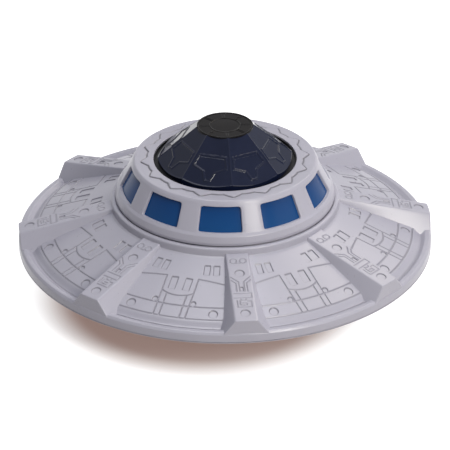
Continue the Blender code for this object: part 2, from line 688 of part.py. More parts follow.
def dome(finish):
    """Eight flat facets up to a round cap, open underneath."""
    outside = [
        (0, DOME_Z),
        (DOME_RADIUS, DOME_Z),
        (DOME_RADIUS, DOME_SHOULDER_Z),
        (DOME_CAP_RADIUS, DOME_CAP_Z),
        (0, DOME_CAP_Z),
    ]
    hollow = [
        (0, DOME_Z - 0.0010),
        (DOME_RADIUS - 1.4 * WALL, DOME_Z - 0.0010),
        (DOME_RADIUS - 1.4 * WALL, DOME_SHOULDER_Z - 0.4 * WALL),
        (DOME_CAP_RADIUS - 0.6 * WALL, DOME_CAP_Z - WALL),
        (0, DOME_CAP_Z - WALL),
    ]

    def cap(bm):
        add_drum(bm, DOME_CAP_RADIUS, DOME_CAP_Z - 0.5 * WALL, DOME_TOP_Z, sides=ROUND_SIDES)

    body = shape(lambda bm: add_turned(bm, outside, DOME_SIDES), "dome", finish)
    add(body, cap)
    cut(body, lambda bm: add_turned(bm, hollow, DOME_SIDES))
    return body


def turret_carrier(finish):
    """Plate that closes the turret below and turns on the post."""
    top = CARRIER_Z + CARRIER_THICKNESS
    bore = POST_RADIUS + RUNNING
    profile = [(bore, CARRIER_Z), (CARRIER_RADIUS, CARRIER_Z), (CARRIER_RADIUS, top), (bore, top)]

    def holes(bm):
        for place in TURRET_SCREW_PLACES:
            add_drum(bm, SCREW_RADIUS + GAP, CARRIER_Z - 0.0010, top + 0.0010, place, 8)
        for place in around(6, 0.68 * CARRIER_RADIUS, math.radians(30)):
            add_drum(bm, 0.13 * CARRIER_RADIUS, CARRIER_Z - 0.0010, top + 0.0010, place, 8)

    body = shape(lambda bm: add_turned(bm, profile, TURRET_SIDES), "turret_carrier", finish)
    cut(body, holes)
    return body


def turret_gear(finish):
    """Large spur gear under the carrier, round the post."""
    top = GEAR_Z + SPUR_WIDTH

    def blank(bm):
        add_gear(bm, TURRET_TEETH, SPUR_MODULE, GEAR_Z, top, SPIN_ANGLE)

    body = shape(blank, "turret_gear", finish)
    cut(body, lambda bm: add_drum(bm, POST_RADIUS + RUNNING, GEAR_Z - 0.001, top + 0.001, sides=16))
    return body


def turret_post(finish):
    """Fixed hollow post through the deck: the turret turns on it and the wires run up it."""
    flange_top = DECK_Z - WALL - GAP
    profile = [
        (POST_BORE, flange_top - 0.0018),
        (POST_FLANGE, flange_top - 0.0018),
        (POST_FLANGE, flange_top),
        (POST_RADIUS, flange_top),
        (POST_RADIUS, POST_TOP),
        (POST_BORE, POST_TOP),
    ]
    return shape(lambda bm: add_turned(bm, profile, 16), "turret_post", finish)


def light_board(finish):
    """Round lamp board on top of the post."""
    top = LIGHT_BOARD_Z + 0.0016

    def disc(bm):
        add_drum(bm, LIGHT_BOARD_RADIUS, LIGHT_BOARD_Z, top, sides=ROUND_SIDES)

    return shape(disc, "light_board", finish)


def led(number, place, finish):
    """Round-nosed lamp standing on the light board."""
    foot = LIGHT_BOARD_Z + 0.0016 + GAP
    nose = LED_RADIUS
    profile = [(0, 0), (LED_RADIUS + 0.0004, 0), (LED_RADIUS + 0.0004, 0.0010), (LED_RADIUS, 0.0010)]
    for step in range(3):
        angle = step * math.pi / 4
        profile.append((nose * math.cos(angle), LED_HEIGHT - nose + nose * math.sin(angle)))
    where = (place[0], place[1], foot)
    return shape(lambda bm: add_turned(bm, profile, 8), f"led_{number}", finish, location=where)


def spin_gearbox(finish):
    """Reduction box under the deck, with the bore for the pinion's shaft."""
    half_x, half_y = SPIN_BOX[0] / 2, SPIN_BOX[1] / 2
    x, y = SPIN_PLACE

    def block(bm):
        low = (x - half_x, y - half_y, SPIN_BOX_BOTTOM)
        add_box(bm, low, (x + half_x, y + half_y, SPIN_BOX_TOP))

    body = shape(block, "spin_gearbox", finish)
    bore = GEAR_SHAFT_RADIUS + GAP
    low, high = SPIN_BOX_TOP - 0.0060, SPIN_BOX_TOP + 0.0010
    cut(body, lambda bm: add_drum(bm, bore, low, high, SPIN_PLACE))
    return body


def spin_motor(finish):
    """Small can motor under the reduction box."""
    top = SPIN_BOX_BOTTOM - GAP
    end = top - SPIN_MOTOR_LENGTH
    profile = [
        (0, end - MOTOR_BOSS_LENGTH),
        (0.0025, end - MOTOR_BOSS_LENGTH),
        (0.0025, end),
        (SPIN_MOTOR_RADIUS - MOTOR_EDGE, end),
        (SPIN_MOTOR_RADIUS, end + MOTOR_EDGE),
        (SPIN_MOTOR_RADIUS, top),
        (0, top),
    ]
    where = (*SPIN_PLACE, 0)
    return shape(lambda bm: add_turned(bm, profile, 16), "spin_motor", finish, location=where)


def spin_pinion(finish):
    """Pinion on the reduction box's output shaft, in mesh with the turret gear."""
    def blank(bm):
        turn = SPIN_ANGLE + math.pi + math.pi / SPIN_TEETH
        add_gear(bm, SPIN_TEETH, SPUR_MODULE, GEAR_Z, GEAR_Z + SPUR_WIDTH, turn)

    def shaft(bm):
        add_drum(bm, GEAR_SHAFT_RADIUS, SPIN_BOX_TOP - 0.0050, GEAR_Z + 0.0005)

    where = {"location": (*SPIN_PLACE, 0)}
    body = shape(blank, "spin_pinion", finish, **where)
    combine(body, shape(shaft, **where), "UNION")
    return body


# ---------------------------------------------------------------- drive carriage
def carriage_housing(finish):
    """Upturned cup that turns in the well, with its pivot on top."""
    inner = CARRIAGE_RADIUS - CARRIAGE_WALL
    foot = CARRIAGE_BOTTOM + CARRIAGE_WALL + GAP
    roof = CARRIAGE_TOP - CARRIAGE_WALL
    profile = [
        (0, PIVOT_TOP),
        (0, roof),
        (inner, roof),
        (inner, foot),
        (CARRIAGE_RADIUS, foot),
        (CARRIAGE_RADIUS, CARRIAGE_TOP - 0.0008),
        (CARRIAGE_RADIUS - 0.0008, CARRIAGE_TOP),
        (CARRIAGE_PIVOT, CARRIAGE_TOP),
        (CARRIAGE_PIVOT, PIVOT_TOP),
    ]

    def lugs(bm):
        for side in (-1, 1):
            add_drum(bm, CARRIAGE_LUG_RADIUS, foot, foot + 0.0090, (0, side * LUG_REACH))

    def holes(bm):
        add_drum(bm, SCREW_RADIUS + GAP, CARRIAGE_TOP - 0.0005, PIVOT_TOP + 0.0010, sides=8)
        for side in (-1, 1):
            place = (0, side * LUG_REACH)
            add_drum(bm, SCREW_RADIUS + GAP, foot - 0.0010, foot + 0.0070, place, 8)

    where = {"location": (0, CARRIAGE_Y, 0)}
    body = shape(lambda bm: add_turned(bm, profile, ROUND_SIDES), "carriage_housing", finish, **where)
    combine(body, shape(lugs, **where), "UNION")
    combine(body, shape(holes, **where), "DIFFERENCE")
    return body


def carriage_cover(finish):
    """Bottom plate with two wheel slots, hollowed where the axle gear needs it."""
    top = CARRIAGE_BOTTOM + CARRIAGE_WALL

    def openings(bm):
        half = DRIVE_WHEEL_WIDTH / 2 + 0.0008
        reach = DRIVE_WHEEL_RADIUS + 0.0006
        for side in (-1, 1):
            low = (side * DRIVE_TRACK - half, -reach, CARRIAGE_BOTTOM - 0.0010)
            add_box(bm, low, (side * DRIVE_TRACK + half, reach, top + 0.0010))
            place = (0, side * LUG_REACH)
            add_drum(bm, SCREW_RADIUS + GAP, CARRIAGE_BOTTOM - 0.0010, top + 0.0010, place, 8)
        gear_foot = AXLE_Z - AXLE_GEAR_TIP - AXLE_GEAR_ROOM
        low = (SMALL_MESH_X - 2 * GAP, -AXLE_GEAR_TIP, gear_foot)
        high = (SMALL_MESH_X + FINE_WIDTH + 2 * GAP, AXLE_GEAR_TIP, gear_foot + 0.0030)
        add_box(bm, low, high)

    where = {"location": (0, CARRIAGE_Y, 0)}
    plate = shape(
        lambda bm: add_drum(bm, CARRIAGE_RADIUS, CARRIAGE_BOTTOM, top, sides=ROUND_SIDES),
        "carriage_cover",
        finish,
        **where,
    )
    combine(plate, shape(openings, **where), "DIFFERENCE")
    return plate


def carriage_washer(finish):
    """Washer on the pivot that keeps the carriage in the well."""
    low = PIVOT_TOP + GAP
    high = low + WASHER_THICKNESS
    bore = SCREW_RADIUS + GAP
    profile = [(bore, low), (CARRIAGE_WASHER, low), (CARRIAGE_WASHER, high), (bore, high)]

    def ring(bm):
        add_turned(bm, profile, SMALL_SIDES)

    return shape(ring, "carriage_washer", finish, location=(0, CARRIAGE_Y, 0))


def pivot_screw(finish):
    """Screw driven down through the washer into the pivot."""
    seat = PIVOT_TOP + WASHER_THICKNESS + 2 * GAP
    profile = [
        (0, seat + SCREW_HEAD_HEIGHT),
        (0.8 * SCREW_HEAD_RADIUS, seat + SCREW_HEAD_HEIGHT),
        (SCREW_HEAD_RADIUS, seat),
        (SCREW_RADIUS, seat),
        (SCREW_RADIUS, CARRIAGE_TOP + 0.0003),
        (0, CARRIAGE_TOP),
    ]
    where = (0, CARRIAGE_Y, 0)
    return shape(lambda bm: add_turned(bm, profile, SCREW_SIDES), "pivot_screw", finish, location=where)


def gearbox_plate(name, x, finish):
    """Upright side plate that carries the gear shafts."""
    low_z = CARRIAGE_BOTTOM + CARRIAGE_WALL + 2 * GAP
    high_z = CARRIAGE_TOP - CARRIAGE_WALL - GAP

    def plate(bm):
        high = (x + PLATE_THICKNESS, CARRIAGE_Y + PLATE_HALF, high_z)
        add_box(bm, (x, CARRIAGE_Y - PLATE_HALF, low_z), high)

    body = shape(plate, name, finish)
    bores = (
        (CARRIAGE_Y, AXLE_Z, AXLE_RADIUS + GAP),
        (IDLER_Y, IDLER_Z, GEAR_SHAFT_RADIUS + GAP),
        (MOTOR_Y, MOTOR_Z, GEAR_SHAFT_RADIUS + GAP),
    )
    for y, z, radius in bores:
        place = {"location": (x, y, z), "rotation": (0, math.pi / 2, 0)}
        bore = shape(lambda bm: add_drum(bm, radius, -0.004, 0.004), **place)
        combine(body, bore, "DIFFERENCE")
    return body


def along_x(name, maker, y, z, finish):
    """Piece made about a vertical axis, laid with that axis along +X at (y, z)."""
    return shape(maker, name, finish, location=(0, y, z), rotation=(0, math.pi / 2, 0))


def laid_turn(angle):
    """Tooth angle, seen from +X above +Y, for a gear that along_x lays down."""
    return angle + math.pi / 2


def drive_motor(finish):
    """Can motor lying along the axle."""
    def can(bm):
        low, high = MOTOR_FACE_X - MOTOR_LENGTH, MOTOR_FACE_X
        profile = [
            (0, low - MOTOR_BOSS_LENGTH),
            (0.0030, low - MOTOR_BOSS_LENGTH),
            (0.0030, low),
            (MOTOR_RADIUS - MOTOR_EDGE, low),
            (MOTOR_RADIUS, low + MOTOR_EDGE),
            (MOTOR_RADIUS, high),
            (0, high),
        ]
        add_turned(bm, profile, 16)

    return along_x("drive_motor", can, MOTOR_Y, MOTOR_Z, finish)


def wheel(name, x, y, z, radius, width, finish):
    """Wheel hub with a dished web."""
    bore = AXLE_RADIUS + GAP
    rim = radius - TYRE_THICKNESS - GAP
    half = width / 2
    side = 1 if x > 0 else -1
    profile = [
        (bore, x - side * half),
        (rim, x - side * half),
        (rim, x + side * half),
        (0.82 * rim, x + side * half),
        (0.76 * rim, x + side * 0.3 * half),
        (0.40 * rim, x + side * 0.3 * half),
        (bore, x + side * 0.9 * half),
    ]
    return along_x(name, lambda bm: add_turned(bm, profile, 16), y, z, finish)


def tyre(name, x, y, z, radius, width, finish):
    """Rubber ring round a wheel."""
    inner = radius - TYRE_THICKNESS
    half = width / 2
    profile = [
        (inner, x - half),
        (radius - 0.0008, x - half),
        (radius, x - 0.65 * half),
        (radius, x + 0.65 * half),
        (radius - 0.0008, x + half),
        (inner, x + half),
    ]
    return along_x(name, lambda bm: add_turned(bm, profile, WHEEL_SIDES), y, z, finish)


def axle(name, half_length, y, z, finish):
    profile = [
        (0, -half_length),
        (AXLE_RADIUS - 0.0004, -half_length),
        (AXLE_RADIUS, -half_length + 0.0006),
        (AXLE_RADIUS, half_length - 0.0006),
        (AXLE_RADIUS - 0.0004, half_length),
        (0, half_length),
    ]
    return along_x(name, lambda bm: add_turned(bm, profile, 12), y, z, finish)


def axle_gear(finish):
    """Gear on the drive axle."""
    low, high = SMALL_MESH_X, SMALL_MESH_X + FINE_WIDTH

    def blank(bm):
        add_gear(bm, AXLE_TEETH, FINE_MODULE, low, high, laid_turn(IDLER_ANGLE))

    body = along_x("axle_gear", blank, CARRIAGE_Y, AXLE_Z, finish)
    place = {"location": (0, CARRIAGE_Y, AXLE_Z), "rotation": (0, math.pi / 2, 0)}
    bore = shape(lambda bm: add_drum(bm, AXLE_RADIUS + GAP, low - 0.001, high + 0.001), **place)
    combine(body, bore, "DIFFERENCE")
    return body


def idler_gear(finish):
    """Double gear between the motor's pinion and the axle gear, with its shaft."""
    def small(bm):
        turn = laid_turn(IDLER_ANGLE + math.pi) + math.pi / IDLER_SMALL_TEETH
        low = BIG_MESH_X + 0.5 * FINE_WIDTH
        add_gear(bm, IDLER_SMALL_TEETH, FINE_MODULE, low, SMALL_MESH_X + FINE_WIDTH, turn)

    def big(bm):
        turn = laid_turn(MOTOR_ANGLE)
        add_gear(bm, IDLER_BIG_TEETH, FINE_MODULE, BIG_MESH_X, BIG_MESH_X + FINE_WIDTH, turn)

    def shaft(bm):
        high = OUTER_PLATE_X + PLATE_THICKNESS
        add_drum(bm, GEAR_SHAFT_RADIUS, INNER_PLATE_X, high)

    place = {"location": (0, IDLER_Y, IDLER_Z), "rotation": (0, math.pi / 2, 0)}
    body = along_x("idler_gear", big, IDLER_Y, IDLER_Z, finish)
    combine(body, shape(small, **place), "UNION")
    combine(body, shape(shaft, **place), "UNION")
    return body


def drive_pinion(finish):
    """Pinion on the drive motor's shaft."""
    def blank(bm):
        turn = laid_turn(MOTOR_ANGLE + math.pi) + math.pi / MOTOR_TEETH
        add_gear(bm, MOTOR_TEETH, FINE_MODULE, BIG_MESH_X, BIG_MESH_X + FINE_WIDTH, turn)

    place = {"location": (0, MOTOR_Y, MOTOR_Z), "rotation": (0, math.pi / 2, 0)}
    body = along_x("drive_pinion", blank, MOTOR_Y, MOTOR_Z, finish)
    low = MOTOR_FACE_X + GAP
    shaft = shape(lambda bm: add_drum(bm, GEAR_SHAFT_RADIUS, low, BIG_MESH_X + 0.001), **place)
    combine(body, shaft, "UNION")
    return body


# ---------------------------------------------------------------- batteries and electronics
def battery(number, x, forward, finish):
    """Round cell lying along Y with its raised contact at one end."""
    profile = [
        (0, 0),
        (CELL_RADIUS - 0.0006, 0),
        (CELL_RADIUS, 0.0006),
        (CELL_RADIUS, CELL_LENGTH - 0.0006),
        (CELL_RADIUS - 0.0006, CELL_LENGTH),
        (0.0027, CELL_LENGTH),
        (0.0027, CELL_LENGTH + 0.0011),
        (0, CELL_LENGTH + 0.0011),
    ]
    tilt = math.pi / 2 if forward else -math.pi / 2
    start = CELL_BACK if forward else CELL_FRONT
    where = (x, start, CELL_Z)
    return shape(
        lambda bm: add_turned(bm, profile, 12),
        f"battery_{number}",
        finish,
        location=where,
        rotation=(tilt, 0, 0),
    )


def contact(name, y, finish):
    """Contact strip across the cells' ends."""
    half = BAY_HALF - 2 * GAP
    low = CELL_Z - CONTACT_HEIGHT / 2
    corner = (half, y + CONTACT_THICKNESS, low + CONTACT_HEIGHT)
    return shape(lambda bm: add_box(bm, (-half, y, low), corner), name, finish)


def battery_door(finish):
    """Flush door over the bay, held by one screw."""
    half = BAY_HALF - 1.5 * GAP
    front, back = BAY_FRONT + 1.5 * GAP, BAY_BACK - 1.5 * GAP
    top = FLOOR_Z - GAP / 2
    place = (0, DOOR_SCREW_Y)

    def plate(bm):
        add_box(bm, (-half, front, BASE_Z), (half, back, top))

    def hole(bm):
        add_drum(bm, SCREW_RADIUS + GAP, BASE_Z - 0.0010, top + 0.0010, place, 8)

    body = shape(plate, "battery_door", finish)
    cut(body, hole)
    return body


def speaker(finish):
    """Round speaker lying face down over the sound holes."""
    high = SPEAKER_HEIGHT
    profile = [
        (0, 0.35 * high),
        (0.25 * SPEAKER_RADIUS, 0.35 * high),
        (0.84 * SPEAKER_RADIUS, 0.08 * high),
        (0.86 * SPEAKER_RADIUS, 0),
        (SPEAKER_RADIUS, 0),
        (SPEAKER_RADIUS, 0.15 * high),
        (0.90 * SPEAKER_RADIUS, 0.20 * high),
        (0.52 * SPEAKER_RADIUS, 0.60 * high),
        (0.52 * SPEAKER_RADIUS, high),
        (0, high),
    ]
    where = (*SPEAKER_PLACE, FLOOR_Z + GAP)
    return shape(lambda bm: add_turned(bm, profile, 16), "speaker", finish, location=where)


def main_board(finish):
    """Sound and motor control board on two pillars."""
    half_x, half_y = BOARD_SIZE[0] / 2, BOARD_SIZE[1] / 2
    low = FLOOR_Z + BOARD_HEIGHT
    x, y = BOARD_PLACE
    corner = (x + half_x, y + half_y, low + BOARD_SIZE[2])
    return shape(lambda bm: add_box(bm, (x - half_x, y - half_y, low), corner), "main_board", finish)


def switch_body(finish):
    """Slide switch over its slot in the floor of the dish."""
    x, y = SWITCH_PLACE
    low = (x - 0.0040, y - 0.0050, FLOOR_Z + 0.0024)
    high = (x + 0.0040, y + 0.0050 + SWITCH_TRAVEL, FLOOR_Z + 0.0080)
    return shape(lambda bm: add_box(bm, low, high), "switch_body", finish)


def switch_knob(finish):
    """Grip below the dish with its stem up through the slot."""
    def grip(bm):
        half_x, half_y = SWITCH_GRIP[0] / 2, SWITCH_GRIP[1] / 2
        add_box(bm, (-half_x, -half_y, BASE_Z - GAP - 0.0014), (half_x, half_y, BASE_Z - GAP))

    def stem(bm):
        half_x, half_y = SWITCH_STEM[0] / 2, SWITCH_STEM[1] / 2
        add_box(bm, (-half_x, -half_y, BASE_Z - 0.0010), (half_x, half_y, FLOOR_Z + 0.0020))

    where = {"location": (*SWITCH_PLACE, 0)}
    body = shape(grip, "switch_knob", finish, **where)
    combine(body, shape(stem, **where), "UNION")
    return body


# ---------------------------------------------------------------- assembly
def build():
    clear_scene()
    shell = material("shell_plastic", (0.50, 0.49, 0.54), 0.45)
    dark = material("dark_plastic", (0.03, 0.03, 0.035), 0.45)
    smoked = material("smoked_plastic", (0.015, 0.014, 0.018), 0.12)
    blue = material("blue_window", (0.010, 0.060, 0.200), 0.18)
    rubber = material("tyre_rubber", (0.025, 0.025, 0.027), 0.80)
    steel = material("steel", (0.62, 0.62, 0.63), 0.32, 1.0)
    nylon = material("gear_nylon", (0.80, 0.79, 0.74), 0.50)
    laminate = material("board_laminate", (0.03, 0.20, 0.09), 0.40)
    can = material("motor_can", (0.55, 0.55, 0.56), 0.30, 1.0)
    sleeve = material("battery_sleeve", (0.10, 0.11, 0.13), 0.35)
    lens = material("lamp_lens", (0.75, 0.78, 0.80), 0.15)
    spring = material("contact_steel", (0.66, 0.64, 0.58), 0.28, 1.0)

    upper_hull(shell)
    lower_hull(shell)
    for number, place in enumerate(HULL_SCREW_PLACES, 1):
        screw(f"hull_screw_{number}", place, HEAD_SEAT, steel)

    turret_shell(shell)
    window_band(blue)
    dome_bezel(dark)
    dome(smoked)
    turret_carrier(dark)
    turret_gear(nylon)
    for number, place in enumerate(TURRET_SCREW_PLACES, 1):
        screw(f"turret_screw_{number}", place, CARRIER_Z, steel, 0.0060)
    turret_post(dark)
    light_board(laminate)
    for number, place in enumerate(around(LED_COUNT, 0.78 * LIGHT_BOARD_RADIUS), 1):
        led(number, place, lens)
    spin_gearbox(dark)
    spin_motor(can)
    spin_pinion(nylon)

    carriage_housing(dark)
    carriage_cover(dark)
    carriage_washer(steel)
    pivot_screw(steel)
    for number, side in enumerate((-1, 1), 1):
        place = (0, CARRIAGE_Y + side * LUG_REACH)
        screw(f"cover_screw_{number}", place, CARRIAGE_BOTTOM, steel, 0.0080)
    gearbox_plate("gearbox_plate_inner", INNER_PLATE_X, nylon)
    gearbox_plate("gearbox_plate_outer", OUTER_PLATE_X, nylon)
    drive_motor(can)
    axle("drive_axle", DRIVE_TRACK + DRIVE_WHEEL_WIDTH / 2 + 0.0008, CARRIAGE_Y, AXLE_Z, steel)
    axle_gear(nylon)
    idler_gear(nylon)
    drive_pinion(nylon)
    rear_reach = REAR_TRACK + REAR_WHEEL_WIDTH / 2 + 0.0012
    axle("rear_axle", rear_reach, REAR_AXLE_Y, REAR_WHEEL_RADIUS, steel)
    for side, hand in ((-1, "left"), (1, "right")):
        front = (side * DRIVE_TRACK, CARRIAGE_Y, AXLE_Z, DRIVE_WHEEL_RADIUS, DRIVE_WHEEL_WIDTH)
        wheel(f"drive_wheel_{hand}", *front, dark)
        tyre(f"drive_tyre_{hand}", *front, rubber)
        back = (side * REAR_TRACK, REAR_AXLE_Y, REAR_WHEEL_RADIUS, REAR_WHEEL_RADIUS, REAR_WHEEL_WIDTH)
        wheel(f"rear_wheel_{hand}", *back, dark)
        tyre(f"rear_tyre_{hand}", *back, rubber)

    for number in range(1, CELL_COUNT + 1):
        x = (number - (CELL_COUNT + 1) / 2) * CELL_PITCH
        battery(number, x, number % 2 == 1, sleeve)
    contact("contact_front", BAY_FRONT + GAP, spring)
    contact("contact_rear", CELL_BACK + GAP, spring)
    battery_door(shell)
    screw("door_screw", (0, DOOR_SCREW_Y), BASE_Z, steel)
    speaker(dark)
    main_board(laminate)
    switch_body(dark)
    switch_knob(dark)


build()
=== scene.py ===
"""Looks of the toy flying saucer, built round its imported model.

Lengths in the shape functions are in millimetres; solid() turns them into metres. An azimuth
is measured from the front, which is -Y, towards +X.
"""

import math

import bpy
import numpy as np
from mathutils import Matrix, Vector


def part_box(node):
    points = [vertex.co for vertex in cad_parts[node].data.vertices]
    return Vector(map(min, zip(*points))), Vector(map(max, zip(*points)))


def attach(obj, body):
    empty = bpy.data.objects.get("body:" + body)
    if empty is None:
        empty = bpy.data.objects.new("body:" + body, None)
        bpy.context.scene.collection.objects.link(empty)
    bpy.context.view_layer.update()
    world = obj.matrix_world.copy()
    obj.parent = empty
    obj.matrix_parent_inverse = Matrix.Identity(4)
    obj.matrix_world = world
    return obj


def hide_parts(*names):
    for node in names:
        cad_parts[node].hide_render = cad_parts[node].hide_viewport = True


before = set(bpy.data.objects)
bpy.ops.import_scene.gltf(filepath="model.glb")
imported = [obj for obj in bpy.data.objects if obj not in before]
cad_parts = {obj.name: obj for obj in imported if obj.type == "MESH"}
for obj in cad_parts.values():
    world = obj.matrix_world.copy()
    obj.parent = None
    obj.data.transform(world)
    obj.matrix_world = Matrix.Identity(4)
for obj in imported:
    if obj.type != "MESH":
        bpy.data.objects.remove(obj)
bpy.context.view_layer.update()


def box_mm(node):
    """Lowest and highest corner of a CAD node, in millimetres."""
    low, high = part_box(node)
    return [1000 * v for v in low], [1000 * v for v in high]


def middle_mm(node):
    """Middle of a CAD node's box, in millimetres."""
    return [(a + b) / 2 for a, b in zip(*box_mm(node))]


# --- sizes, in millimetres
EIGHTH = math.radians(45)  # ribs, sectors and facets repeat every eighth of a turn
HALF_EIGHTH = EIGHTH / 2

(_, _, HULL_FOOT), (RIM, _, COLLAR_TOP) = box_mm("upper_hull")
LIP = HULL_FOOT + 7.2  # crest of the raised lip
CONE_FOOT_R, CONE_FOOT = RIM - 8.7, LIP + 0.3
CONE_TOP_R, CONE_TOP = 83.0, LIP + 22.8
SLOPE = (CONE_TOP - CONE_FOOT) / (CONE_FOOT_R - CONE_TOP_R)
GUTTER, GUTTER_WIDTH, GUTTER_START = 1.9, 5.0, 4.9
COLLAR_R, COLLAR_BORE = 82.5, 79.0
DECK = COLLAR_TOP - 4.0
RIB_ROOT_R, RIB_END_R = 81.0, RIM - 0.2
RIB_ROOT, RIB_END = CONE_TOP + 2.9, LIP + 9.6
RIB_HALF = 7.75  # half width of a rib's flat top
ROOT_FLARE, END_FLARE = 0.345, 0.755  # how fast the sides spread below the top
RIB_EDGE, RIB_ROUND = 0.9, 0.6  # rounding of its long edges and of its outer end
RIB_CURVED = 0.9  # share of its length where the bend to the rim starts

SKIRT = COLLAR_TOP + 0.6
SILL = SKIRT + 8.2
HEAD = SILL + 17.3
SPIGOT_BORE, SPIGOT_R = 75.6, 77.6
SKIRT_R, SILL_R, HEAD_R, SHOULDER_R = 79.3, 76.5, 67.5, 62.5
TURRET_TOP = box_mm("turret_shell")[1][2]
CROWN = TURRET_TOP - 0.56  # the crown's top beside the raised star
MOUTH_R = 51.5
WINDOWS = 10
WINDOW_TURN, WINDOW_HALF = math.radians(-8.3), math.radians(12.0)
WINDOW_RISE = 0.478  # half height of an opening, share of the wall's height
FRAME_DEPTH = 2.05
SPIKES = 16
SPIKE_HALF = math.radians(7.0)

(_, _, DOME_FOOT), (_, _, DOME_TOP) = box_mm("dome")
DOME_R, CAP_R = 48.5, 20.2
DOME_SHOULDER = DOME_FOOT + 1.8
CAP_FOOT = DOME_SHOULDER + 23.8
FACET_BOW = 3.4  # how far a facet reaches below its corners

BASE = box_mm("lower_hull")[0][2]
FLOOR = BASE + 2.0  # inside floor of the dish
DISH_TOP = HULL_FOOT - 0.3
DISH_FLAT_R = 90.0
DOOR = box_mm("battery_door")
BAY = (DOOR[0][0] - 0.45, DOOR[1][0] + 0.45, DOOR[0][1] - 0.45, DOOR[1][1] + 0.45)
CARRIAGE = box_mm("carriage_cover")
CARRIAGE_Y = (CARRIAGE[0][1] + CARRIAGE[1][1]) / 2
CARRIAGE_R = CARRIAGE[1][0]
WELL_R = CARRIAGE_R + 0.8
WELL_ROOF = box_mm("carriage_housing")[1][2] - 2.6
CRADLE_X, CRADLE = DOOR[1][0] + 0.7, 4.0
DRIVE, REAR = box_mm("drive_tyre_right"), box_mm("rear_tyre_right")
DRIVE_X, REAR_X = ((low[0] + high[0]) / 2 for low, high in (DRIVE, REAR))
DRIVE_WIDTH, REAR_WIDTH = (high[0] - low[0] for low, high in (DRIVE, REAR))
DRIVE_R, REAR_R = ((high[2] - low[2]) / 2 for low, high in (DRIVE, REAR))
REAR_Y = (REAR[0][1] + REAR[1][1]) / 2
HULL_SCREWS = [f"hull_screw_{number}" for number in (1, 2, 3, 4)]
COVER_SCREWS = ["cover_screw_1", "cover_screw_2"]

# --- engraved marks
FAR = 9.0  # a distance beyond any groove's width
LINE_DEPTH, LINE_HALF, FIELD_DEPTH = 0.60, 0.62, 0.75
SECTOR_ARCS = (136.0, 125.8)  # radii
SECTOR_LINES = (  # (across, out), mirrored
    ((11.5, 101.9), (11.5, 135.5)),
    ((7.3, 116.5), (7.3, 135.8)),
    ((11.5, 101.9), (60.0, 101.9)),
)
BOW_CENTRE, BOW_RADIUS, BOW_FOOT, BOW_HALF = 96.65, 21.15, 112.5, 11.5
SECTOR_BOX = (2.75, 7.65, 102.5, 112.7)
SECTOR_SLOTS = (math.radians(9.2), math.radians(13.3))
SLOT_HALF, SLOT_START, SLOT_END = 2.1, 90.3, 98.3
SECTOR_SPOTS = (  # (across, out, radius)
    (13.9, 122.5, 1.9),
    (131 * math.sin(math.radians(13.2)), 131 * math.cos(math.radians(13.2)), 3.1),
)

RIB_LINE_DEPTH, RIB_LINE_HALF, RIB_FIELD_DEPTH = 0.45, 0.55, 0.7
RIB_LINES = (  # (across, radius)
    ((5.2, 130.4), (2.6, 130.4)),
    ((-4.7, 129.5), (-4.7, 136.0), (5.2, 136.0), (5.2, 130.4)),
    ((-2.6, 129.7), (-2.6, 134.0), (1.9, 134.0), (1.9, 132.0), (-1.0, 132.0)),
    ((-2.0, 128.2), (-1.2, 129.4), (1.2, 129.4), (2.0, 128.2)),
    ((-6.3, 126.9), (6.0, 126.9), (6.0, 122.5), (-6.3, 122.5)),
    ((-1.2, 92.5), (1.2, 92.5)),
)
RIB_PAIRS = (((1.8, 120.5), (1.8, 111.0), (8.0, 104.8)),  # mirrored
             ((3.8, 120.5), (3.8, 112.4), (8.0, 108.2)))
RIB_RING = (3.4, 90.0, 2.3)  # (across, radius, its own radius), mirrored
RIB_SPOTS, RIB_SPOT_R = (142.0, 102.3), 3.3
RIB_BOX = (-1.1, 1.1, 116.2, 120.3)

FACET_LINE = ((0.0, 20.2), (9.5, 20.2), (12.3, 11.8), (4.3, 7.8), (2.0, 1.0), (0.0, 0.8))
FACET_BAR = ((0, 18.3), (8.6, 18.3))

# --- colours and light
SHELL_COLOUR = (0.375, 0.367, 0.417)
WINDOW_FOOT_COLOUR, WINDOW_HEAD_COLOUR = (0.0046, 0.058, 0.185), (0.0023, 0.039, 0.154)
GROOVE_SHADE = 0.16  # colour of the painted shade in a groove, as a share of the plain colour
STAIN_SHADE = 0.78  # the same for the darkest spots on metal
FLOOR_TONES = (0.37, 0.362, 0.354), (0.40, 0.392, 0.385)
SKY_LEFT, SKY_RIGHT, SKY_REACH = (0.03, 0.03, 0.04), (0.46, 0.475, 0.60), 0.9
BOUNCE = (0.26, 0.25, 0.25)  # the floor's own light on the part
PAINTED_SHADOW_COLOUR = (0.22, 0.140, 0.110)  # painted shadow: the floor's colour as seen below the part
PAINTED_SHADOW_CENTRE, PAINTED_SHADOW_REACH = (-0.020, -0.028), (0.091, 0.128)  # middle of the painted shadow, and where it starts and ends fading to white, in metres
LAMPS = (  # name, size in m, power in W, colour, place in m
    ("overhead", (1.3, 1.3), 23.2, (0.95, 0.965, 1.0), (-0.12, 0.0, 2.4)),
    ("key", (1.2, 1.2), 13.0, (1.0, 0.92, 0.80), (1.0, 1.3, 1.9)),
    ("right", (1.2, 1.2), 1.4, (0.97, 0.95, 1.0), (1.7, 0.0, 1.6)),
    ("low_right", (1.0, 0.8), 3.1, (1.0, 0.95, 0.80), (1.9, -0.9, 0.6)),
    ("front", (0.26, 0.40), 6.6, (1.0, 0.96, 0.88), (0.44, -0.87, 0.70)),
)
LAMP_AIM = (0.0, 0.0, 0.05)
CAMERA_AROUND, CAMERA_ABOVE = math.radians(-5.7), math.radians(28.454)
CAMERA_AWAY, CAMERA_AIM = 2.41, (0.0, 0.0, 0.04015)
CAMERA_SENSOR, CAMERA_LENS = 36.0, 265.0
FLOOR_EDGES = (-9, 9, -9, 9)  # metres


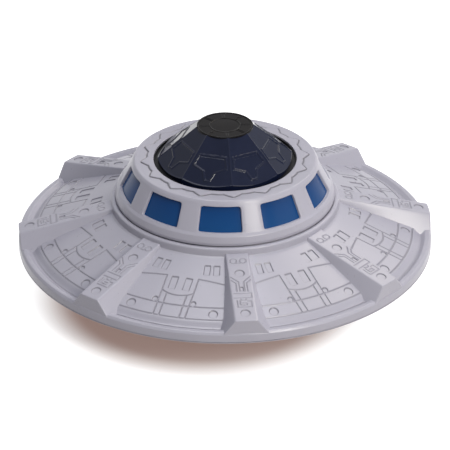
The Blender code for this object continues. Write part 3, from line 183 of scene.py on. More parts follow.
# --- finishes
class Value:
    """A number carried by a shader socket; arithmetic on it adds Math nodes."""

    def __init__(self, finish, socket):
        self.finish, self.socket = finish, socket

    def math(self, operation, *others):
        return self.finish.node("ShaderNodeMath", {"operation": operation}, self, *others)

    def __add__(self, other): return self.math("ADD", other)
    def __sub__(self, other): return self.math("SUBTRACT", other)
    def __rsub__(self, other): return self.math("MULTIPLY_ADD", -1.0, other)
    def __mul__(self, other): return self.math("MULTIPLY", other)

    __radd__, __rmul__ = __add__, __mul__


class Nodes:
    """The node tree of a material or a world, with one method that adds any node."""

    def __init__(self, owner, coordinates):
        owner.use_nodes = True
        self.owner, self.tree = owner, owner.node_tree
        self.place = self.node("ShaderNodeTexCoord", {}, out=coordinates)

    def fill(self, socket, value):
        """Link a socket to a value, or set it to a plain number or colour."""
        if isinstance(value, Value):
            self.tree.links.new(value.socket, socket)
        else:
            socket.default_value = value

    def node(self, kind, settings, *inputs, out=0, **named):
        """Add a node, set it up, feed its inputs in order or by name, and return one output."""
        made = self.tree.nodes.new(kind)
        for key, value in settings.items():
            setattr(made, key, value)
        for key, value in enumerate(inputs):
            self.fill(made.inputs[key], value)
        for key, value in named.items():
            self.fill(made.inputs[key.replace("_", " ")], value)
        return Value(self, made.outputs[out])

    def rays(self):
        """One for camera, glossy and transmission rays, nil for the rest."""
        kinds = [self.node("ShaderNodeLightPath", {}, out=f"Is {kind} Ray")
                 for kind in ("Camera", "Glossy", "Transmission")]
        return kinds[0].math("MAXIMUM", kinds[1]).math("MAXIMUM", kinds[2])

    def noise(self, scale, detail=2.0, roughness=0.5):
        """Noise on the object's own coordinates, scale in features per metre, near 0.5."""
        return self.node("ShaderNodeTexNoise", {}, Vector=self.place, Scale=scale,
                         Detail=detail, Roughness=roughness)

    def blend(self, share, first, second):
        """Colour between two colours or colour sockets."""
        share_slot, first_slot, second_slot, colour_out = 0, 6, 7, 2
        made = self.tree.nodes.new("ShaderNodeMix")
        made.data_type = "RGBA"
        self.fill(made.inputs[share_slot], share)
        for slot, end in ((first_slot, first), (second_slot, second)):
            self.fill(made.inputs[slot], end if isinstance(end, Value) else (*end, 1.0))
        return Value(self, made.outputs[colour_out])


class Finish(Nodes):
    """One node material round a Principled shader."""

    def __init__(self, name, **fixed):
        super().__init__(bpy.data.materials.new(name), "Object")
        self.shader = self.tree.nodes["Principled BSDF"]
        for socket, value in fixed.items():
            self.shader.inputs[socket.replace("_", " ")].default_value = value

    def bump(self, height, distance):
        """Normal bent by a height; a height of one stands for a distance in metres."""
        return self.node("ShaderNodeBump", {}, Strength=1.0, Distance=distance, Height=height,
                         out="Normal")

    def feed(self, **sockets):
        """Link values to the shader's own sockets."""
        for key, value in sockets.items():
            self.tree.links.new(value.socket, self.shader.inputs[key.replace("_", " ")])
        return self.owner


def plastic(name, colour, grain, rough, spread=0.06, coat=0.0, groove=0.0, level=0.5):
    """Moulded plastic: faint cloudy colour, fine spark-eroded grain, darker in its grooves as
    painted shade.
    """
    made = Finish(name, Coat_Weight=coat, Coat_Roughness=0.2, Specular_IOR_Level=level)
    low, high = ([v * share for v in colour] for share in (1 - spread, 1 + spread))
    tint = made.blend(made.noise(28.0, 3.0), low, high)
    # painted shade: where the groove attribute is high, the colour darkens towards a small
    # share of itself
    if groove:
        depth = made.node("ShaderNodeAttribute", {"attribute_name": "groove"}, out="Fac")
        tint = made.blend(depth * groove, tint, [GROOVE_SHADE * v for v in colour])
    pits = made.noise(1600.0, 3.0, 0.7)
    waves = made.noise(160.0, 2.0)
    return made.feed(
        Base_Color=tint,
        Roughness=rough - 0.06 + 0.12 * made.noise(420.0, 2.0),
        Normal=made.bump(pits + 0.6 * waves, grain),
    )


def metal(name, colour, rough, scale):
    """Metal with fine uneven polish."""
    made = Finish(name, Metallic=1.0)
    stain = made.noise(scale, 4.0, 0.65)
    return made.feed(
        Base_Color=made.blend(stain, [STAIN_SHADE * v for v in colour], colour),
        Roughness=rough - 0.10 + 0.22 * made.noise(0.4 * scale, 3.0),
        Normal=made.bump(stain, 0.00002),
    )


def window_finish():
    """Blue tinted sheet, lighter towards its foot, with a faint ripple."""
    made = Finish("blue_window", IOR=1.45, Specular_IOR_Level=0.15)
    up = made.node("ShaderNodeSeparateXYZ", {}, made.place, out="Z")
    height = made.node("ShaderNodeMapRange", {}, up, SILL / 1000, HEAD / 1000, 0.0, 1.0)
    share = height * 0.7 + 0.3 * made.noise(40.0, 2.0)
    return made.feed(
        Base_Color=made.blend(share, WINDOW_FOOT_COLOUR, WINDOW_HEAD_COLOUR),
        Roughness=0.16 + 0.08 * made.noise(60.0, 2.0),
        Normal=made.bump(made.noise(35.0, 1.0), 0.0004),
    )


def smoked_finish(name, low, high, level):
    """Smoked glossy plastic, nearly black, with a trace of haze."""
    made = Finish(name, IOR=1.5, Specular_IOR_Level=level)
    haze = made.noise(45.0, 3.0, 0.6)
    return made.feed(
        Base_Color=made.blend(haze, low, high),
        Roughness=0.05 + 0.08 * made.noise(180.0, 3.0),
        Normal=made.bump(made.noise(90.0, 2.0), 0.00005),
    )


PLASTICS = {  # colour, grain in m, roughness, spread, coat, groove (share of painted shade in grooves)
    "shell_plastic": (SHELL_COLOUR, 0.00001, 0.30, 0.06, 0.0, 0.80),
    "dark_plastic": ((0.030, 0.030, 0.034), 0.00003, 0.42),
    "tyre_rubber": ((0.022, 0.022, 0.024), 0.00008, 0.80, 0.15),
    "gear_nylon": ((0.78, 0.76, 0.70), 0.00002, 0.50, 0.03),
    "lamp_lens": ((0.72, 0.76, 0.80), 0.00001, 0.15, 0.02, 0.6),
    "board_laminate": ((0.025, 0.170, 0.075), 0.00002, 0.35, 0.20, 0.4),
    "battery_sleeve": ((0.060, 0.075, 0.110), 0.00001, 0.30, 0.10, 0.5),
}
METALS = {  # colour, roughness, scale
    "steel": ((0.60, 0.60, 0.61), 0.3, 900.0),
    "motor_can": ((0.52, 0.52, 0.54), 0.34, 300.0),
    "contact_steel": ((0.64, 0.62, 0.56), 0.28, 900.0),
}
SLOTS = {name: plastic(name, *look) for name, look in PLASTICS.items()}
SLOTS.update({name: metal(name, *look) for name, look in METALS.items()})
SLOTS["blue_window"] = window_finish()
SLOTS["smoked_plastic"] = smoked_finish(
    "smoked_dome", (0.003, 0.006, 0.021), (0.009, 0.013, 0.036), 0.15)
CAP_FINISH = smoked_finish("smoked_cap", (0.006, 0.006, 0.007), (0.012, 0.010, 0.010), 0.05)
# near-black ring colour: painted shade of the gap between the turret's mouth and the dome
RING_GAP_SHADE_FINISH = plastic("black_ring", (0.006, 0.006, 0.008), 0.00002, 0.45, level=0.12)


# --- surfaces
def smooth(share):
    """Smooth step 3 s^2 - 2 s^3 of a share s that runs from nil to one."""
    return share * share * (3 - 2 * share)


def full_turn(steps):
    """Evenly spaced angles all round."""
    return np.linspace(0, 2 * np.pi, steps, endpoint=False)


def around(radius, turn, height):
    """Points at a radius, an azimuth and a height."""
    return np.stack([radius * np.sin(turn), -radius * np.cos(turn), height + 0 * turn], -1)


def quads(index):
    """Faces between the neighbours of a grid of vertex numbers."""
    corners = (index[:-1, :-1], index[:-1, 1:], index[1:, 1:], index[1:, :-1])
    return np.stack(corners, -1).reshape(-1, 4)


def closed(index):
    """Faces of a grid of vertex numbers whose last row joins its first."""
    return [quads(np.vstack([index, index[:1]]))]


def numbered(rows, columns, start=0, wrap=False):
    """Grid of vertex numbers in reading order; wrap repeats the first column at the end."""
    index = start + np.arange(rows * columns).reshape(rows, columns)
    return np.hstack([index, index[:, :1]]) if wrap else index


def placed(name, data):
    """Object made of its data and put in the scene."""
    made = bpy.data.objects.new(name, data)
    bpy.context.scene.collection.objects.link(made)
    return made


def solid(name, points, faces):
    """Mesh object from points in millimetres and lists of faces.

    A quad with a repeated corner becomes a triangle. All faces are turned over if the volume
    they enclose, the sum of a . (b x c) over their triangles, comes out negative.
    """
    points = np.asarray(points, float).reshape(-1, 3)
    loops, counts, volume = [], [], 0.0
    for block in faces:
        block = np.atleast_2d(np.asarray(block, int))
        parts = [block]
        if block.shape[1] == 4:
            single = (block[:, 0] == block[:, 1]) | (block[:, 2] == block[:, 3])
            shrunk = block[single]
            first = shrunk[:, 0] == shrunk[:, 1]
            triangles = np.where(first[:, None], shrunk[:, 1:], shrunk[:, :3])
            parts = [block[~single], triangles]
        for part in parts:
            if len(part):
                loops.append(part)
                counts.append(np.full(len(part), part.shape[1]))
                for after in range(1, part.shape[1] - 1):
                    a, b, c = (points[part[:, k]] for k in (0, after, after + 1))
                    volume += np.einsum("ij,ij->", a, np.cross(b, c))
    if volume < 0:
        loops = [part[:, ::-1] for part in loops]
    corners = np.concatenate([part.ravel() for part in loops])
    counts = np.concatenate(counts)
    mesh = bpy.data.meshes.new(name)
    mesh.vertices.add(len(points))
    mesh.vertices.foreach_set("co", (0.001 * points).ravel())
    mesh.loops.add(len(corners))
    mesh.loops.foreach_set("vertex_index", corners.astype(np.int32))
    mesh.polygons.add(len(counts))
    mesh.polygons.foreach_set("loop_start", (np.cumsum(counts) - counts).astype(np.int32))
    mesh.update(calc_edges=True)
    mesh.validate()
    return placed(name, mesh)


def carved(made, cuts):
    """Mesh of an object with prisms taken out of it."""
    tools = [solid("tool", *prism(*cut)) for cut in cuts]
    for tool in tools:
        carve = made.modifiers.new("carve", "BOOLEAN")
        carve.operation, carve.solver, carve.object = "DIFFERENCE", "EXACT", tool
    bpy.context.view_layer.update()
    shape = made.evaluated_get(bpy.context.evaluated_depsgraph_get())
    mesh = bpy.data.meshes.new_from_object(shape)
    made.modifiers.clear()
    for tool in tools:
        bpy.data.objects.remove(tool, do_unlink=True)
    return mesh


def piece(name, points, faces, body, slot, finish=None, replaces=(), groove=None, sharp=35,
          cuts=()):
    """Solid riding on a body, with the slot's finish unless another is given.

    groove is the share of painted shade at the first points, edges steeper than sharp degrees
    stay hard, and cuts are prisms taken out of it.
    """
    made = solid(name, points, faces)
    if cuts:
        made.data = carved(made, cuts)
    mesh = made.data
    mesh.shade_smooth()
    mesh.set_sharp_from_angle(angle=math.radians(sharp))
    if groove is not None:
        layer = mesh.attributes.new("groove", "FLOAT", "POINT")
        values = np.zeros(len(mesh.vertices))
        values[:groove.size] = groove.ravel()
        layer.data.foreach_set("value", values.astype(np.float32))
    mesh.materials.clear()
    mesh.materials.append(finish or SLOTS[slot])
    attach(made, body)
    if replaces:
        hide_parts(*replaces)


def capped(index):
    """Faces of a tube of two rings of vertex numbers, with an end on each."""
    return [quads(index), [index[0, -2::-1]], [index[1, :-1]]]


def prism(outline, low, high):
    """Points and faces of an upright prism over an (x, y) outline."""
    outline = np.asarray(outline, float)
    points = [np.column_stack([outline, np.full(len(outline), z)]) for z in (low, high)]
    return np.stack(points), capped(numbered(2, len(outline), wrap=True))


def oblong(x0, x1, y0, y1):
    """Corners of an upright rectangle."""
    return [(x0, y0), (x1, y0), (x1, y1), (x0, y1)]


def disc(radius, x, y, sides=96):
    """Corners round a circle."""
    angle = full_turn(sides)
    return np.column_stack([x + radius * np.cos(angle), y + radius * np.sin(angle)])


def rounded(path, steps):
    """Path of (x, y, radius) corners with each corner of some radius replaced by an arc.

    The arc is tangent to both sides of the corner, half of whose angle is h: it starts
    radius / tan(h) before the corner, and its centre lies radius / sin(h) away from it.
    """
    out = []
    for k, (x, y, radius) in enumerate(path):
        corner = np.array((x, y), float)
        if radius <= 0 or k in (0, len(path) - 1):
            out.append(corner)
            continue
        before = np.array(path[k - 1][:2], float) - corner
        after = np.array(path[k + 1][:2], float) - corner
        before, after = before / np.linalg.norm(before), after / np.linalg.norm(after)
        half = math.acos(np.clip(before @ after, -1, 1)) / 2
        middle = before + after
        centre = corner + middle / np.linalg.norm(middle) * radius / math.sin(half)
        start, end = (corner + side * radius / math.tan(half) - centre
                      for side in (before, after))
        turn = math.atan2(start[0] * end[1] - start[1] * end[0], start @ end)
        for share in np.linspace(0, 1, steps + 1):
            c, s = math.cos(turn * share), math.sin(turn * share)
            out.append(centre + (c * start[0] - s * start[1], s * start[0] + c * start[1]))
    return np.array(out)


def turned(name, profile, body, slot, sides=240, centre=(0, 0), steps=4, laid=False, **more):
    """Closed profile of (radius, height, corner radius) turned about an upright axis at centre.

    If laid, the axis runs along X through the (y, z) centre instead, and a height is an x.
    """
    loop = rounded([*profile, profile[0]], steps)[:-1]
    angle = full_turn(sides)
    radius, height = loop[:, :1], loop[:, 1:]
    across = [centre[0] + radius * np.sin(angle), centre[1] - radius * np.cos(angle)]
    along = [height + 0 * angle]
    points = np.stack(along + across if laid else across + along, -1)
    index = numbered(len(loop), sides, wrap=True)
    on_axis = loop[:, 0] < 1e-6
    index[on_axis] = index[on_axis, :1]
    piece(name, points, closed(index), body, slot, **more)


def slab(name, top, under, body, slot, wrap=False, **more):
    """Closed solid between a fine grid and an under surface ruled between two rows."""
    rows, columns = top.shape[:2]
    index = numbered(rows, columns, wrap=wrap)
    below = numbered(2, columns, rows * columns, wrap=wrap)
    faces = [quads(index), quads(below[::-1]), quads(np.vstack([below[:1], index[:1]])),
             quads(np.vstack([index[-1:], below[1:]]))]
    if not wrap:
        faces += [[[*index[::-1, 0], below[0, 0], below[1, 0]]],
                  [[*index[:, -1], below[1, -1], below[0, -1]]]]
    points = np.concatenate([top.reshape(-1, 3), np.asarray(under).reshape(-1, 3)])
    piece(name, points, faces, body, slot, **more)


def swung(points, azimuth):
    """Points turned about the vertical axis from the front round to an azimuth."""
    c, s = math.cos(azimuth), math.sin(azimuth)
    x, y, z = np.moveaxis(points, -1, 0)
    return np.stack([c * x - s * y, s * x + c * y, z], -1)


# --- engraving
def sunk(depth, distance, half):
    """Groove: deepest where distance is nil, rising as a cosine to nil at half its width."""
    return -depth * 0.5 * (1 + np.cos(np.pi * np.clip(distance / half, 0, 1)))


def pocket(depth, outside, edge=0.5):
    """Sunk field: outside is the distance from its outline, and its wall is edge wide."""
    return -depth * smooth(np.clip(0.5 - outside / edge, 0, 1))


def painted_groove_shade(relief, down_step, across_step):
    """Share of painted shade in engraving: its steepness on a grid with these steps."""
    down, across = np.gradient(relief)
    return np.clip(np.hypot(np.abs(down) / down_step, np.abs(across) / across_step) / 1.6, 0, 1)


def to_line(x, y, *corners):
    """Distance from points to a polyline."""
    best = np.full(np.shape(x), 1e9)
    for (ax, ay), (bx, by) in zip(corners, corners[1:]):
        dx, dy = bx - ax, by - ay
        along = np.clip(((x - ax) * dx + (y - ay) * dy) / (dx * dx + dy * dy), 0, 1)
        best = np.minimum(best, np.hypot(x - ax - along * dx, y - ay - along * dy))
    return best


def to_box(x, y, x0, x1, y0, y1):
    """Distance outwards from an upright rectangle, less than nil inside."""
    dx = np.abs(x - (x0 + x1) / 2) - (x1 - x0) / 2
    dy = np.abs(y - (y0 + y1) / 2) - (y1 - y0) / 2
    outside = np.hypot(np.maximum(dx, 0), np.maximum(dy, 0))
    return outside + np.minimum(np.maximum(dx, dy), 0)


def to_ring(x, y, cx, cy, radius):
    """Distance from points to a circle's line."""
    return np.abs(np.hypot(x - cx, y - cy) - radius)


def sector_relief(x, y):
    """Height of the engraving on one sector: x across its middle line, y out along it."""
    radius, turn, side = np.hypot(x, y), np.arctan2(x, y), np.abs(x)
    in_bow = (y > BOW_FOOT) & (side < BOW_HALF)
    lines = [np.abs(radius - arc) for arc in SECTOR_ARCS]
    lines += [to_line(side, y, *path) for path in SECTOR_LINES]
    lines.append(np.where(in_bow, to_ring(x, y, 0, BOW_CENTRE, BOW_RADIUS), FAR))
    fields = [to_box(side, y, *SECTOR_BOX)]
    fields += [to_box(radius * (np.abs(turn) - middle), radius, -SLOT_HALF, SLOT_HALF,
                      SLOT_START, SLOT_END) for middle in SECTOR_SLOTS]
    fields += [np.hypot(side - across, y - out) - spot for across, out, spot in SECTOR_SPOTS]
    return np.minimum(sunk(LINE_DEPTH, np.minimum.reduce(lines), LINE_HALF),
                      pocket(FIELD_DEPTH, np.minimum.reduce(fields)))


def rib_relief(x, r):
    """Height of the engraving on a rib's top: x across it, r out along it."""
    lines = [to_line(x, r, *path) for path in RIB_LINES]
    lines += [to_line(np.abs(x), r, *path) for path in RIB_PAIRS]
    lines.append(to_ring(np.abs(x), r, *RIB_RING))
    fields = [np.hypot(x, r - out) - RIB_SPOT_R for out in RIB_SPOTS]
    fields.append(to_box(x, r, *RIB_BOX))
    return np.minimum(sunk(RIB_LINE_DEPTH, np.minimum.reduce(lines), RIB_LINE_HALF),
                      pocket(RIB_FIELD_DEPTH, np.minimum.reduce(fields)))


# --- disc
def cone(radius):
    """Height of the panelled cone at a radius."""
    return CONE_FOOT + (CONE_FOOT_R - radius) * SLOPE


def gutter(radius):
    """Depth of the gutter at the cone's foot: a smooth step over its last millimetres."""
    share = (radius - CONE_FOOT_R + GUTTER_START) / GUTTER_WIDTH
    return GUTTER * smooth(np.clip(share, 0, 1))


def rib_half(radius, height):
    """Half width of a rib at a height: its sides spread more towards the rim."""
    share = (radius - RIB_ROOT_R) / (RIB_END_R - RIB_ROOT_R)
    top = RIB_ROOT + (RIB_END - RIB_ROOT) * share
    flare = ROOT_FLARE + (END_FLARE - ROOT_FLARE) * share
    return RIB_HALF + flare * (top - height)


def sectors():
    """Eight engraved fields: rows are arcs, columns run from under one rib to the next."""
    rows, columns, under_ribs, thick = 168, 221, 0.9, 2.0
    radius = np.linspace(COLLAR_R - 0.5, CONE_FOOT_R + 0.2, rows)[:, None]
    reach = HALF_EIGHTH - np.arcsin((rib_half(radius, cone(radius)) - under_ribs) / radius)
    turn = np.linspace(-1, 1, columns) * reach
    relief = sector_relief(radius * np.sin(turn), radius * np.cos(turn))
    top = around(radius, turn, cone(radius) - gutter(radius) + relief)
    under = top[[0, -1]].copy()
    under[..., 2] = cone(radius[[0, -1]]) - thick
    for number in range(8):
        azimuth = (number + 0.5) * EIGHTH
        # the engraving's steep walls get painted shade in the finish
        slab(f"hull_sector_{number + 1}", swung(top, azimuth), swung(under, azimuth), "hull",
             "shell_plastic", groove=painted_groove_shade(relief, 0.36, 0.34),
             replaces=["upper_hull"] if number == 0 else [])


def ribs():
    """Eight ribs: a cross-section swept outwards, its end rounded over and curved to the rim.

    The top's edge is a quadratic curve with its control point in the corner: at ease e it lies
    RIB_EDGE * (1 - e)^2 back along the top and RIB_EDGE * e^2 down along the side. Beyond the
    share RIB_CURVED of its length the rows bend from straight to the rim's circle:
    y^2 = radius^2 - bend * x^2, with bend rising from nil to one.
    """
    rows, side_columns, flat_columns = 188, 8, 45
    roll = np.radians([22.5, 45.0, 67.5, 90.0])
    ease = np.array([0.25, 0.5, 0.75, 1.0])
    straight = np.linspace(RIB_ROOT_R, RIB_END_R - RIB_ROUND, rows)
    radius = np.append(straight, RIB_END_R - RIB_ROUND + RIB_ROUND * np.sin(roll))[:, None]
    sink = np.append(np.zeros(rows), RIB_ROUND * (1 - np.cos(roll)))[:, None]
    share = (radius - RIB_ROOT_R) / (RIB_END_R - RIB_ROOT_R)
    top = RIB_ROOT + (RIB_END - RIB_ROOT) * share - sink
    foot = np.minimum(cone(radius) - 1.0, LIP - 2.2)
    half = RIB_HALF - sink
    spread = rib_half(radius, foot) - sink - half
    slant = np.hypot(spread, top - foot)
    drop = RIB_EDGE / slant
    drop = drop + (1 - drop) * np.linspace(1, 0, side_columns + 1)[:-1]
    side_x, side_z = half + spread * drop, top - (top - foot) * drop
    bend_x = half + RIB_EDGE * (ease ** 2 * spread / slant - (1 - ease) ** 2)
    bend_z = top - RIB_EDGE * ease ** 2 * (top - foot) / slant
    flat = np.linspace(-1, 1, flat_columns) * (half - RIB_EDGE)
    x = np.hstack([-side_x, -bend_x[:, ::-1], flat, bend_x, side_x[:, ::-1]])
    z = np.hstack([side_z, bend_z[:, ::-1], top + 0 * flat, bend_z, side_z[:, ::-1]])
    relief = np.zeros(x.shape)
    first = side_columns + len(ease)
    relief[:, first:first + flat_columns] = rib_relief(flat, radius)
    relief[radius[:, 0] > RIB_END_R - 1.2] = 0
    bend = np.clip((share - RIB_CURVED) / (1 - RIB_CURVED), 0, 1)
    grid = np.stack([x, -np.sqrt(radius ** 2 - bend * x ** 2), z + relief], -1)
    index = numbered(*x.shape)
    faces = [quads(index), quads(index[:, [-1, 0]]), [index[0]], [index[-1, ::-1]]]
    for number in range(8):
        # the engraving's steep walls get painted shade in the finish
        piece(f"hull_rib_{number + 1}", swung(grid, number * EIGHTH), faces, "hull",
              "shell_plastic", groove=painted_groove_shade(relief, 0.36, 0.32))


def rim_and_collar():
    """Rolled lip with the outer wall below it, and the collar with the deck inside it."""
    turned("hull_rim", [
        (RIM - 2.2, HULL_FOOT, 0), (RIM, HULL_FOOT, 0.25), (RIM - 0.05, LIP - 1.7, 1.0),
        (RIM - 1.5, LIP + 0.05, 1.2), (RIM - 4.7, LIP + 0.05, 1.4), (RIM - 7.5, LIP - 2.0, 1.0),
        (CONE_FOOT_R - 0.4, LIP - 2.05, 0), (CONE_FOOT_R - 1.2, LIP - 2.1, 0),
        (CONE_FOOT_R - 1.2, LIP - 2.8, 0), (RIM - 2.2, LIP - 3.6, 0),
    ], "hull", "shell_plastic", sides=360, steps=6)
    inner, thick, hole = CONE_TOP_R - 2.0, 2.0, 7.0
    turned("hull_collar", [
        (CONE_TOP_R + 1.6, cone(CONE_TOP_R + 1.6) - 1.2, 0),
        (CONE_TOP_R + 1.0, cone(CONE_TOP_R + 1.0) + 0.02, 0.3), (COLLAR_R, CONE_TOP + 0.5, 0.5),
        (COLLAR_R, COLLAR_TOP, 1.5), (COLLAR_BORE, COLLAR_TOP, 0.6), (COLLAR_BORE, DECK, 0.4),
        (hole, DECK, 0), (hole, DECK - thick, 0), (inner, DECK - thick, 0),
        (inner, cone(CONE_TOP_R) - thick, 0),
    ], "hull", "shell_plastic")


# --- turret
def turret():
    """Skirt and spigot, ten framed windows, and the rolled shoulder with the star on top."""
    turned("turret_skirt", [
        (SPIGOT_BORE, SKIRT - 3.0, 0), (SPIGOT_R, SKIRT - 3.0, 0.3), (SPIGOT_R, SKIRT, 0),
        (SKIRT_R, SKIRT, 0.4), (SKIRT_R + 0.15, SKIRT + 2.2, 1.5),
        (SILL_R + 1.7, SILL - 1.7, 1.6), (SILL_R, SILL, 0), (SILL_R - 2.2, SILL, 0),
        (SPIGOT_BORE - 0.6, SKIRT + 1.0, 0),
    ], "turret", "shell_plastic", replaces=["turret_shell"])
    window_frames()
    crown()
    turned("turret_glazing", [
        (SILL_R - 2.0, SILL - 0.5, 0), (HEAD_R - 2.5, HEAD + 0.3, 0),
        (HEAD_R - 3.6, HEAD + 0.3, 0), (SILL_R - 3.4, SILL - 0.5, 0),
    ], "turret", "blue_window", replaces=["window_band"])


def wall_point(turn, share, sink):
    """Point on the leaning window wall: turn round it, share of its height, sunk inwards."""
    lean = math.atan2(SILL_R - HEAD_R, HEAD - SILL)
    radius = SILL_R + (HEAD_R - SILL_R) * share - sink * math.cos(lean)
    height = SILL + (HEAD - SILL) * share - sink * math.sin(lean)
    return around(radius, turn, height)


def window_frames():
    """Frame round each opening: a rounded rectangle grown to the edge of its own tenth.

    (across, up) runs round a square, and pull = (|across|^14 + |up|^14)^(-1/14) draws its
    corners in. Rows go from the reveal's inner edge, over its rounded front, outwards.
    """
    per_side, power = 24, 14
    step, side = np.linspace(-1, 1, per_side, endpoint=False), np.ones(per_side)
    across = np.concatenate([step, side, -step, -side])
    up = np.concatenate([-side, step, side, -step])
    pull = (across ** power + up ** power) ** (-1 / power)
    cell = math.pi / WINDOWS
    reveal = ((1.0, FRAME_DEPTH), (1.0, 0.5), (1.008, 0.22), (1.020, 0.07), (1.036, 0.0))
    rows = [(WINDOW_HALF * grow * across * pull, 0.5 + WINDOW_RISE * grow * up * pull, sink)
            for grow, sink in reveal]
    turn, height, _ = rows[-1]
    rows += [(turn + (across * cell - turn) * share,
              height + (0.5 + 0.5 * up - height) * share, 0.0) for share in (0.35, 0.7, 1.0)]
    rows.append((across * cell, 0.5 + 0.5 * up, FRAME_DEPTH))
    grid = np.stack([wall_point(*row) for row in rows])
    index = numbered(len(rows), grid.shape[1], wrap=True)
    for number in range(WINDOWS):
        azimuth = WINDOW_TURN + 2 * cell * number
        piece(f"window_frame_{number + 1}", swung(grid, azimuth), closed(index), "turret",
              "shell_plastic", sharp=50)


def crown():
    """Rolled shoulder and flat top, with the star as a plate raised by 0.55.

    Its outline is at radius max(55.9 - 0.4 cos(16 turn), 60.8 - 5 spike / SPIKE_HALF), spike
    being the azimuth from the nearest spike. Its edge is a smooth step 0.8 wide, and a groove
    0.35 deep, exp(-((radius - outline - 0.3) / 0.7)^2), runs round it, darkened by painted
    shade in the same measure.
    """
    sides, flat_rows = 1152, 34
    shoulder = rounded([
        (HEAD_R, HEAD, 0), (HEAD_R - 0.8, HEAD + 1.6, 2.5),
        (HEAD_R - 2.2, TURRET_TOP - 0.50, 1.6), (SHOULDER_R, TURRET_TOP - 0.60, 1.0),
        (SHOULDER_R - 1.2, CROWN, 0),
    ], 6)
    flat = np.linspace(SHOULDER_R - 1.5, MOUTH_R + 0.4, flat_rows)
    mouth = np.array([(MOUTH_R + 0.1, TURRET_TOP - 0.2), (MOUTH_R, TURRET_TOP - 0.6)])
    rows = np.concatenate([shoulder, np.column_stack([flat, np.full(flat_rows, CROWN)]), mouth])
    radius, height = rows[:, :1], rows[:, 1:]
    turn = full_turn(sides)[None]
    half = math.pi / SPIKES
    spike = np.abs((turn + half) % (2 * half) - half)
    outline = np.maximum(55.9 - 0.4 * np.cos(SPIKES * turn), 60.8 - 5.0 * spike / SPIKE_HALF)
    raised = 0.55 * smooth(np.clip(0.5 + (outline - radius) / 0.8, 0, 1))
    raised[radius[:, 0] > SHOULDER_R - 1.1] = 0
    raised[radius[:, 0] < MOUTH_R + 0.35] = 0
    line = np.exp(-((radius - outline - 0.3) / 0.7) ** 2)
    line *= raised.max(1, keepdims=True) > 0
    grid = around(radius, turn, height + raised - 0.35 * line)
    under = [around(r, turn[0], z)
             for r, z in ((HEAD_R - 2.1, HEAD), (MOUTH_R, TURRET_TOP - 2.0))]
    # the groove round the star also gets painted shade in the finish
    slab("turret_crown", grid, under, "turret", "shell_plastic", wrap=True, groove=line)


# --- dome
def facet_relief(x, t):
    """Raised outline on a facet: x across it, t up its slope from the lower edge.

    The outline is a smooth step of 0.5 that is highest within 0.13 of the line and nil beyond
    0.98; the bar above it rises straight to 0.2 over 0.4.
    """
    side = np.abs(x)
    crest = np.clip(1.15 - to_line(side, t, *FACET_LINE) / 0.85, 0, 1)
    bar = np.clip(1 - to_line(side, t, *FACET_BAR) / 0.4, 0, 1)
    return 0.5 * smooth(crest) + 0.2 * bar


def dome():
    """Eight flat facets that run down to a scalloped foot, with raised outlines.

    A facet is a plane; t runs up its slope from t = -FACET_BOW * (1 - (x / half width)^2),
    which is where the plane meets the dome's round foot.
    """
    rows, per_side = 108, 84
    run = (DOME_R - CAP_R) * math.cos(HALF_EIGHTH)
    slope = math.hypot(run, CAP_FOOT - DOME_SHOULDER)
    sine, cosine = run / slope, (CAP_FOOT - DOME_SHOULDER) / slope
    across = np.linspace(-1, 1, per_side, endpoint=False)[None]
    foot = -FACET_BOW * (1 - across ** 2)
    up = foot + (slope - foot) * np.linspace(0, 1, rows)[:, None]
    level = np.clip(up, 0, None)
    half = (DOME_R + (CAP_R - DOME_R) * level / slope) * math.sin(HALF_EIGHTH)
    x = across * half
    seam = np.clip(1 - (half - np.abs(x)) / 0.8, 0, 1)
    lip = np.clip(1 - (up - foot) / 0.9, 0, 1)
    relief = facet_relief(x, up) + 0.14 * seam * seam + 0.30 * lip * (1 - seam)
    relief *= np.clip((slope - up) / 0.5, 0, 1)
    distance = DOME_R * math.cos(HALF_EIGHTH) - up * sine + relief * cosine
    height = DOME_SHOULDER + up * cosine + relief * sine
    facet = np.stack([x, -distance, height], -1)
    buried = DOME_FOOT - 2.6
    skirt = np.stack([facet[0]] * 2)
    skirt[:, :, 1] += 0.4
    skirt[0, :, 2], skirt[1, :, 2] = buried, facet[0, :, 2] - 0.5
    across = across[0]
    ring = [np.stack([across * r * math.sin(HALF_EIGHTH),
                      -r * math.cos(HALF_EIGHTH) + 0 * across, z + 0 * across], -1)
            for r, z in ((DOME_R - 3.0, buried), (CAP_R - 2.2, CAP_FOOT - 2.0))]
    both = np.concatenate([skirt, facet, ring])
    both = np.concatenate([swung(both, (k + 0.5) * EIGHTH) for k in range(8)], 1)
    slab("dome_facets", both[:-2], both[-2:], "turret", "smoked_plastic", wrap=True,
         replaces=["dome"], sharp=28)
    cap()


